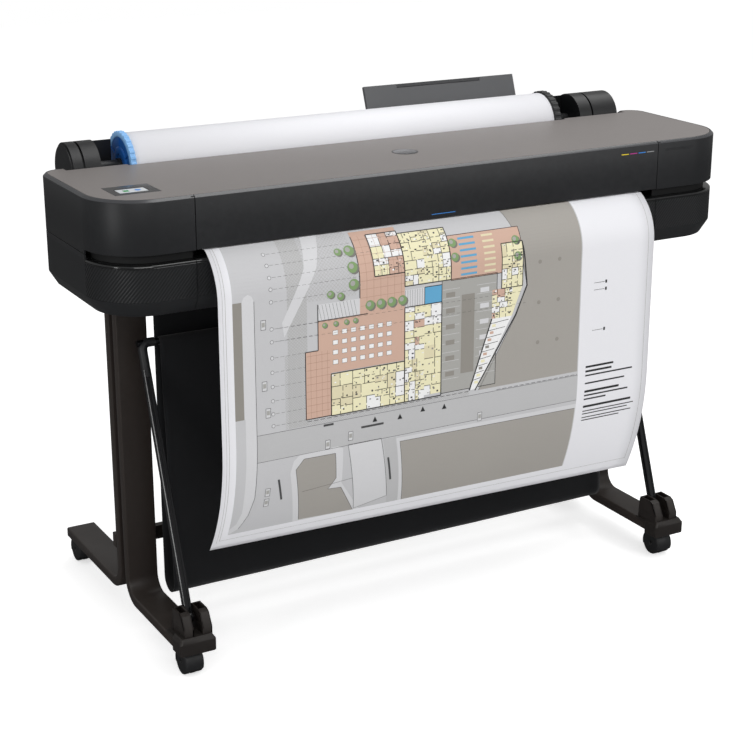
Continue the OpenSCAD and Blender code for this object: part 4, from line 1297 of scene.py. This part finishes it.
skin = printedPlan.modifiers.new("Ink", "SOLIDIFY")
skin.thickness = 0.04 * mm
skin.offset = 0
adopt(printedPlan, "machine")
print("sheet done")


# stand: bent bars with rounded edges
def railSection(width, thickness, radius):
    return roundedRect(-width / 2, width / 2, -thickness / 2, thickness / 2, radius, 3)


def bentBar(name, node, post, way):
    # a post that turns through a wide bend into its foot; way is the foot's direction in Y
    (x0, x1), (y0, y1), (z0, z1) = span(node)
    section = railSection(x1 - x0, 20, 3.2)
    middle = (x0 + x1) / 2
    bend = 40
    centreY, centreZ = post + way * bend, z0 + 10 + bend
    path = [(post, z1, 0)]
    for i in range(13):
        angle = math.radians(90 * i / 12)
        path.append((centreY - way * bend * math.cos(angle), centreZ - bend * math.sin(angle), 90 * i / 12))
    end = y1 if way > 0 else y0
    for inset, shrink in ((1.6, 1.0), (0.4, 0.93), (0, 0.86)):
        path.append((end - way * inset, z0 + 10, 90, shrink))
    bm = bmesh.new()
    rings = []
    for spot in path:
        y, z, angle = spot[:3]
        shrink = spot[3] if len(spot) > 3 else 1.0
        turn = math.radians(angle)
        out = Vector((math.cos(turn), math.sin(turn)))
        ring = []
        for across, offset in section:
            across *= 1 - (1 - shrink) * 0.3
            offset *= shrink
            ring.append(bm.verts.new(place(middle + across, y - way * out.x * offset, z - out.y * offset)))
        rings.append(ring)
    gridFaces(bm, rings, closed=True, loop=False)
    addFace(bm, rings[0])
    addFace(bm, rings[-1])
    piece = makeObject(name, bm, ["bronze"], 40, 0.001)
    adopt(piece, "machine", [node])


for side in ("left", "right"):
    frontPost = span(side + "_front_post")[1][1] - 10
    rearPost = span(side + "_rear_post")[1][0] + 10
    bentBar(side + "FrontPost", side + "_front_post", frontPost, -1)
    bentBar(side + "RearPost", side + "_rear_post", rearPost, 1)
print("posts done")


# bin: two grooved arms and one cloth that hangs between the rod and the back
rodY = sum(span("bin_top_rod")[1]) / 2
rodZ = sum(span("bin_top_rod")[2]) / 2
pivot = next(joint for joint in frame["joints"] if joint["name"] == "bin_pivot")["pos_m"]
pivotY, pivotZ = (pivot[1] - frontY) / mm, pivot[2] / mm


def binArm(side, name, node):
    (x0, x1), _, _ = span(node)
    middle = (x0 + x1) / 2
    run, rise = rodY - pivotY, rodZ - pivotZ
    length = math.hypot(run, rise)
    turn = Matrix.Translation(place(middle, pivotY, pivotZ)) @ Matrix.Rotation(-math.atan2(run, rise), 4, "X")
    base = Matrix.Translation(-place(0, 0, 0))
    turn = turn @ base
    groove = [
        (-7, -7 + 1.2), (-7 + 1.2, -7), (-2.4, -7), (-1.8, -5.6), (1.8, -5.6), (2.4, -7), (7 - 1.2, -7),
        (7, -7 + 1.2), (7, -2.2), (5.8, -1.6), (5.8, 1.6), (7, 2.2), (7, 7 - 1.2), (7 - 1.2, 7),
        (-7 + 1.2, 7), (-7, 7 - 1.2), (-7, 2.2), (-5.8, 1.6), (-5.8, -1.6), (-7, -2.2),
    ]
    bm = bmesh.new()
    ends = []
    for z in (7, length - 48):
        ends.append([bm.verts.new(turn @ place(x, y, z)) for x, y in groove])
    gridFaces(bm, ends, closed=True, loop=False, material=0)
    addFace(bm, ends[0])
    addFace(bm, ends[1])
    # moulded elbow that bends from the arm into the rod, and the eye on the pivot pin
    inward = -side
    bend = 13
    path = [((0, length - back), (0, 1), radius) for back, radius in ((62, 7.6), (60, 8.4), (bend, 8.4))]
    for i in range(1, 9):
        angle = math.radians(90 * i / 8)
        spot = (inward * bend * (1 - math.cos(angle)), length - bend + bend * math.sin(angle))
        path.append((spot, (inward * math.sin(angle), math.cos(angle)), 8.4))
    path += [((inward * 24, length), (inward, 0), 8.4), ((inward * 25, length), (inward, 0), 7.2)]
    rings = []
    for (x, z), (wayX, wayZ), radius in path:
        ring = []
        for i in range(20):
            angle = 2 * math.pi * i / 20
            out = radius * math.cos(angle)
            ring.append(bm.verts.new(turn @ place(x + wayZ * out, radius * math.sin(angle), z - wayX * out)))
        rings.append(ring)
    gridFaces(bm, rings, closed=True, loop=False, material=1)
    addFace(bm, rings[0], 1)
    addFace(bm, rings[-1], 1)
    rings = []
    for x, reach in ((-7, 0), (-7, 9), (-6, 10), (6, 10), (7, 9), (7, 0)):
        ring = []
        for i in range(32):
            angle = 2 * math.pi * i / 32
            ring.append(place(x, reach * math.cos(angle), reach * math.sin(angle)))
        if reach == 0:
            rings.append([bm.verts.new(turn @ ring[0])] * 32)
        else:
            rings.append([bm.verts.new(turn @ spot) for spot in ring])
    gridFaces(bm, rings, closed=True, loop=False, material=0)
    piece = makeObject(name, bm, ["arm", "satin"], 35, 0.001)
    adopt(piece, "bin_frame", [node])


# foot caps with two hollow ears that hold each arm
def footCap(name, node, armNode):
    (x0, x1), (y0, y1), (z0, z1) = span(node)
    middle = sum(span(armNode)[0]) / 2
    cap = {"half": 35, "front": y0 - 1.5, "back": y1 - 4, "foot": 52.5, "lip": 85, "ear": z1 - 2, "wall": 3.2}
    centre = (x0 + x1) / 2
    bm = bmesh.new()
    # skirt round the foot's end, drawn in towards the top
    outline = roundedRect(-cap["half"], cap["half"], cap["front"], 12, 4, 3)
    rings = []
    for z, inset in ((cap["foot"], 1.2), (cap["foot"] + 1.2, 0), (cap["lip"] - 9, 0), (cap["lip"], 5.5)):
        ring = []
        for x, y in outline:
            ring.append(bm.verts.new(place(centre + x * (1 - inset / 35), y + (inset if y < 0 else 0), z)))
        rings.append(ring)
    gridFaces(bm, rings, closed=True, loop=False)
    addFace(bm, rings[0])
    addFace(bm, rings[-1])
    # plate along the top of the foot
    addBox(bm, centre - 33, centre + 33, 8, cap["back"], 74.2, 80)
    # ears: front wall, back wall, two sides and a web, open at the top
    for side in (-1, 1):
        near = middle + side * 8.6
        far = middle + side * 27
        left, right = sorted((near, far))
        slope = [
            (-20, 80), (36, 80), (36, cap["ear"] - 5), (32, cap["ear"]),
            (1, cap["ear"]), (-7, cap["ear"] - 4), (-20, 98),
        ]
        for a, b in ((left, left + cap["wall"]), (right - cap["wall"], right)):
            extruded(bm, slope, a, b)
        extruded(bm, [(-20, 80), (-20, 98), (-7, cap["ear"] - 4), (1, cap["ear"]), (4.5, cap["ear"]),
                      (-4, cap["ear"] - 7), (-16, 97), (-16, 80)], left, right)
        extruded(bm, [(36, 80), (36, cap["ear"] - 5), (32, cap["ear"]), (29, cap["ear"]),
                      (32.6, cap["ear"] - 6), (32.6, 80)], left, right)
        addBox(bm, left, right, -18, 32, 79, 99)
    turned(bm, [(middle - 12, 0), (middle - 12, 5), (middle + 12, 5), (middle + 12, 0)], pivotY, pivotZ, 32)
    piece = makeObject(name, bm, ["bracket"], 30, 0.001)
    softEdges(piece, 0.9)
    adopt(piece, "machine", [node])


footCap("leftFootCap", "left_arm_bracket", "left_bin_arm")
footCap("rightFootCap", "right_arm_bracket", "right_bin_arm")


# caster hoods: a rounded shell over both wheels, with its neck
def casterHood(name, node, body):
    (x0, x1), (y0, y1), (z0, z1) = span(node)
    middle = (x0 + x1) / 2
    half = (x1 - x0) / 2
    hub = sum(span(node.replace("hood", "wheels"))[1]) / 2
    reach = (y1 - y0) / 2 if y1 - y0 < 56 else 27.5
    bm = bmesh.new()
    across = [(-half, 0.86), (-half + 1.2, 0.95), (-half + 3.6, 1.0)]
    across += [(half - 3.6, 1.0), (half - 1.2, 0.95), (half, 0.86)]
    rings = []
    for side, layer in ((1, reach), (0, reach - 2.2)):
        for x, size in (across if side else across[::-1]):
            ring = []
            for i in range(25):
                angle = math.radians(-22 + 224 * i / 24)
                radius = layer * (size if side else 1) - (0 if side else 0.2)
                y, z = hub + radius * math.cos(angle), 24.5 + radius * math.sin(angle)
                ring.append(bm.verts.new(place(middle + x * (1 if side else 0.9), y, z)))
            rings.append(ring)
    gridFaces(bm, rings, closed=False, loop=True)
    addFace(bm, [ring[0] for ring in rings])
    addFace(bm, [ring[-1] for ring in rings])
    # web between the wheels, and the neck up into the foot
    web = [(middle - 3.6, 0), (middle - 3.6, 25), (middle + 3.6, 25), (middle + 3.6, 0)]
    turned(bm, web, hub, 24.5, 40)
    neckY = hub - 12
    outline = arcOf(middle, neckY, 11, 0, 360, 28)[:-1]
    flatPiece(bm, outline, 44, 53.6)
    flatPiece(bm, arcOf(middle, neckY, 5, 0, 360, 16)[:-1], 53, 66)
    piece = makeObject(name, bm, ["satin"], 32, 0.001)
    adopt(piece, body, [node])


for corner in corners:
    tag = "".join(word.title() for word in corner.split("_"))
    casterHood("casterHood" + tag, "caster_hood_" + corner, "caster_" + corner)
print("feet done")


binArm(-1, "leftBinArm", "left_bin_arm")
binArm(1, "rightBinArm", "right_bin_arm")


sling = {
    "turn": 24, "foldY": 190, "backY": 215, "topZ": 639, "columns": 100, "hem": 7.4, "thick": 1.4,
}
(slingLeft, slingRight), _, _ = span("bin_front_fabric")
slingLow = span("bin_back_fabric")[2][0]


def slingLine():
    # the cloth's path in Y and Z, from inside the hem round the rod, down, round the fold and up
    points = []
    hem = sling["hem"]
    for i in range(11):
        angle = math.radians(-150 + 330 * i / 10)
        points.append((rodY + hem * math.cos(angle), rodZ + hem * math.sin(angle), 0.0))
    bottomY = sling["foldY"]
    frontLow = (bottomY - sling["turn"], slingLow + sling["turn"] + 1)
    start = points[-1][:2]
    for i in range(1, 25):
        share = i / 25
        y = start[0] + (frontLow[0] - start[0]) * share
        z = start[1] + (frontLow[1] - start[1]) * share
        points.append((y, z, math.sin(math.pi * share)))
    for i in range(13):
        angle = math.radians(180 + 180 * i / 12)
        radius = sling["turn"]
        points.append((bottomY + radius * math.cos(angle), frontLow[1] + radius * math.sin(angle), 0.25))
    backLow = (bottomY + sling["turn"], frontLow[1])
    for i in range(1, 27):
        share = i / 26
        y = backLow[0] + (sling["backY"] - backLow[0]) * share
        z = backLow[1] + (sling["topZ"] - backLow[1]) * share
        points.append((y, z, 0.5 * math.sin(math.pi * share)))
    return points


def makeSling():
    line = slingLine()
    bm = bmesh.new()
    rows = []
    for y, z, loose in line:
        row = []
        for j in range(sling["columns"] + 1):
            x = slingLeft + 1.5 + (slingRight - slingLeft - 3) * j / sling["columns"]
            broad = noise.noise(Vector((x * 0.006, z * 0.004, y * 0.03)))
            fine = noise.noise(Vector((x * 0.02 + z * 0.008, z * 0.006, 4 + y * 0.05)))
            shift = loose * (5.0 * broad + 2.2 * fine)
            if y > 205:
                shift = min(abs(shift) * 0.3, 0.9)
            row.append(bm.verts.new(place(x, y + shift, z)))
        rows.append(row)
    gridFaces(bm, rows, loop=False)
    length = sum(math.dist(a[:2], b[:2]) for a, b in zip(line, line[1:]))
    return bm, length


bm, slingLength = makeSling()
binCloth = makeObject("binCloth", bm, ["fabric"], 0, 0.001)
thick = binCloth.modifiers.new("Thickness", "SOLIDIFY")
thick.thickness = sling["thick"] * mm
thick.offset = 0
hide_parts("bin_front_fabric", "bin_back_fabric")
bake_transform(binCloth)
print("bin done")


# stage, camera and light
bm = bmesh.new()
for x, y in ((-9, -9), (9, -9), (9, 9), (-9, 9)):
    bm.verts.new((x, y, 0))
bm.faces.new(bm.verts[:])
floor = makeObject("floor", bm, [])
floorLook, tree, shader = startMaterial("FloorPale", {"Roughness": 0.9, "Specular IOR Level": 0.1})
made = useGroup(tree, "grain", {
    "Colour": linear("#f6f6f6"), "Tone Spread": 0.01, "Roughness": 0.9, "Rough Spread": 0.05,
    "Grain Scale": 40.0,
})
mirrored = tree.nodes.new("ShaderNodeLightPath").outputs["Is Glossy Ray"]
floorColour = mixColour(tree, mirrored, made["Colour"], linear("#6a6a6a"))
tree.links.new(floorColour, shader.inputs["Base Color"])
shader.inputs["Emission Color"].default_value = (1, 1, 1, 1)
glow = maths(tree, "MULTIPLY", tree.nodes.new("ShaderNodeLightPath").outputs["Is Camera Ray"], 0.56)
tree.links.new(glow, shader.inputs["Emission Strength"])
floor.data.materials.append(floorLook)

world = bpy.data.worlds.new("Studio")
scene.world = world
world.use_nodes = True
tree = world.node_tree
background = tree.nodes["Background"]
background.inputs["Color"].default_value = (1, 1, 1, 1)
rayKind = tree.nodes.new("ShaderNodeLightPath")
number = {"data_type": "FLOAT"}
glossyRay, cameraRay = rayKind.outputs["Is Glossy Ray"], rayKind.outputs["Is Camera Ray"]
soft = addNode(tree, "ShaderNodeMix", number, {0: glossyRay, 2: 0.5, 3: 0.3})
seen = addNode(tree, "ShaderNodeMix", number, {0: cameraRay, 2: soft.outputs[0], 3: 1.0})
tree.links.new(seen.outputs[0], background.inputs["Strength"])


def areaLight(name, spot, target, size, power):
    data = bpy.data.lights.new(name, "AREA")
    data.shape = "RECTANGLE"
    data.size, data.size_y = size
    data.energy = power
    lamp = bpy.data.objects.new(name, data)
    lamp.location = spot
    lamp.rotation_euler = (Vector(target) - Vector(spot)).to_track_quat("-Z", "Y").to_euler()
    scene.collection.objects.link(lamp)


areaLight("overhead", (0.9, -0.3, 2.9), (0.1, 0, 0.7), (3.4, 1.8), 40)
areaLight("keyFront", (-1.4, -3.6, 2.6), (0, 0, 0.5), (2.4, 1.2), 31)
areaLight("stripLeft", (-3.2, -1.2, 1.1), (-0.4, 0, 0.6), (0.4, 2.0), 18)
areaLight("stripRight", (1.9, -3.3, 1.7), (0.2, 0, 0.5), (0.25, 1.6), 16)

camera = bpy.data.objects.new("Camera", bpy.data.cameras.new("Camera"))
scene.collection.objects.link(camera)
camera.location = (-1.5763, -2.8174, 1.491)
camera.rotation_euler = (math.pi / 2 - 0.326, 0, -0.511)
camera.data.sensor_width = 36
camera.data.lens = 80.87
scene.camera = camera
scene.view_settings.view_transform = "Standard"
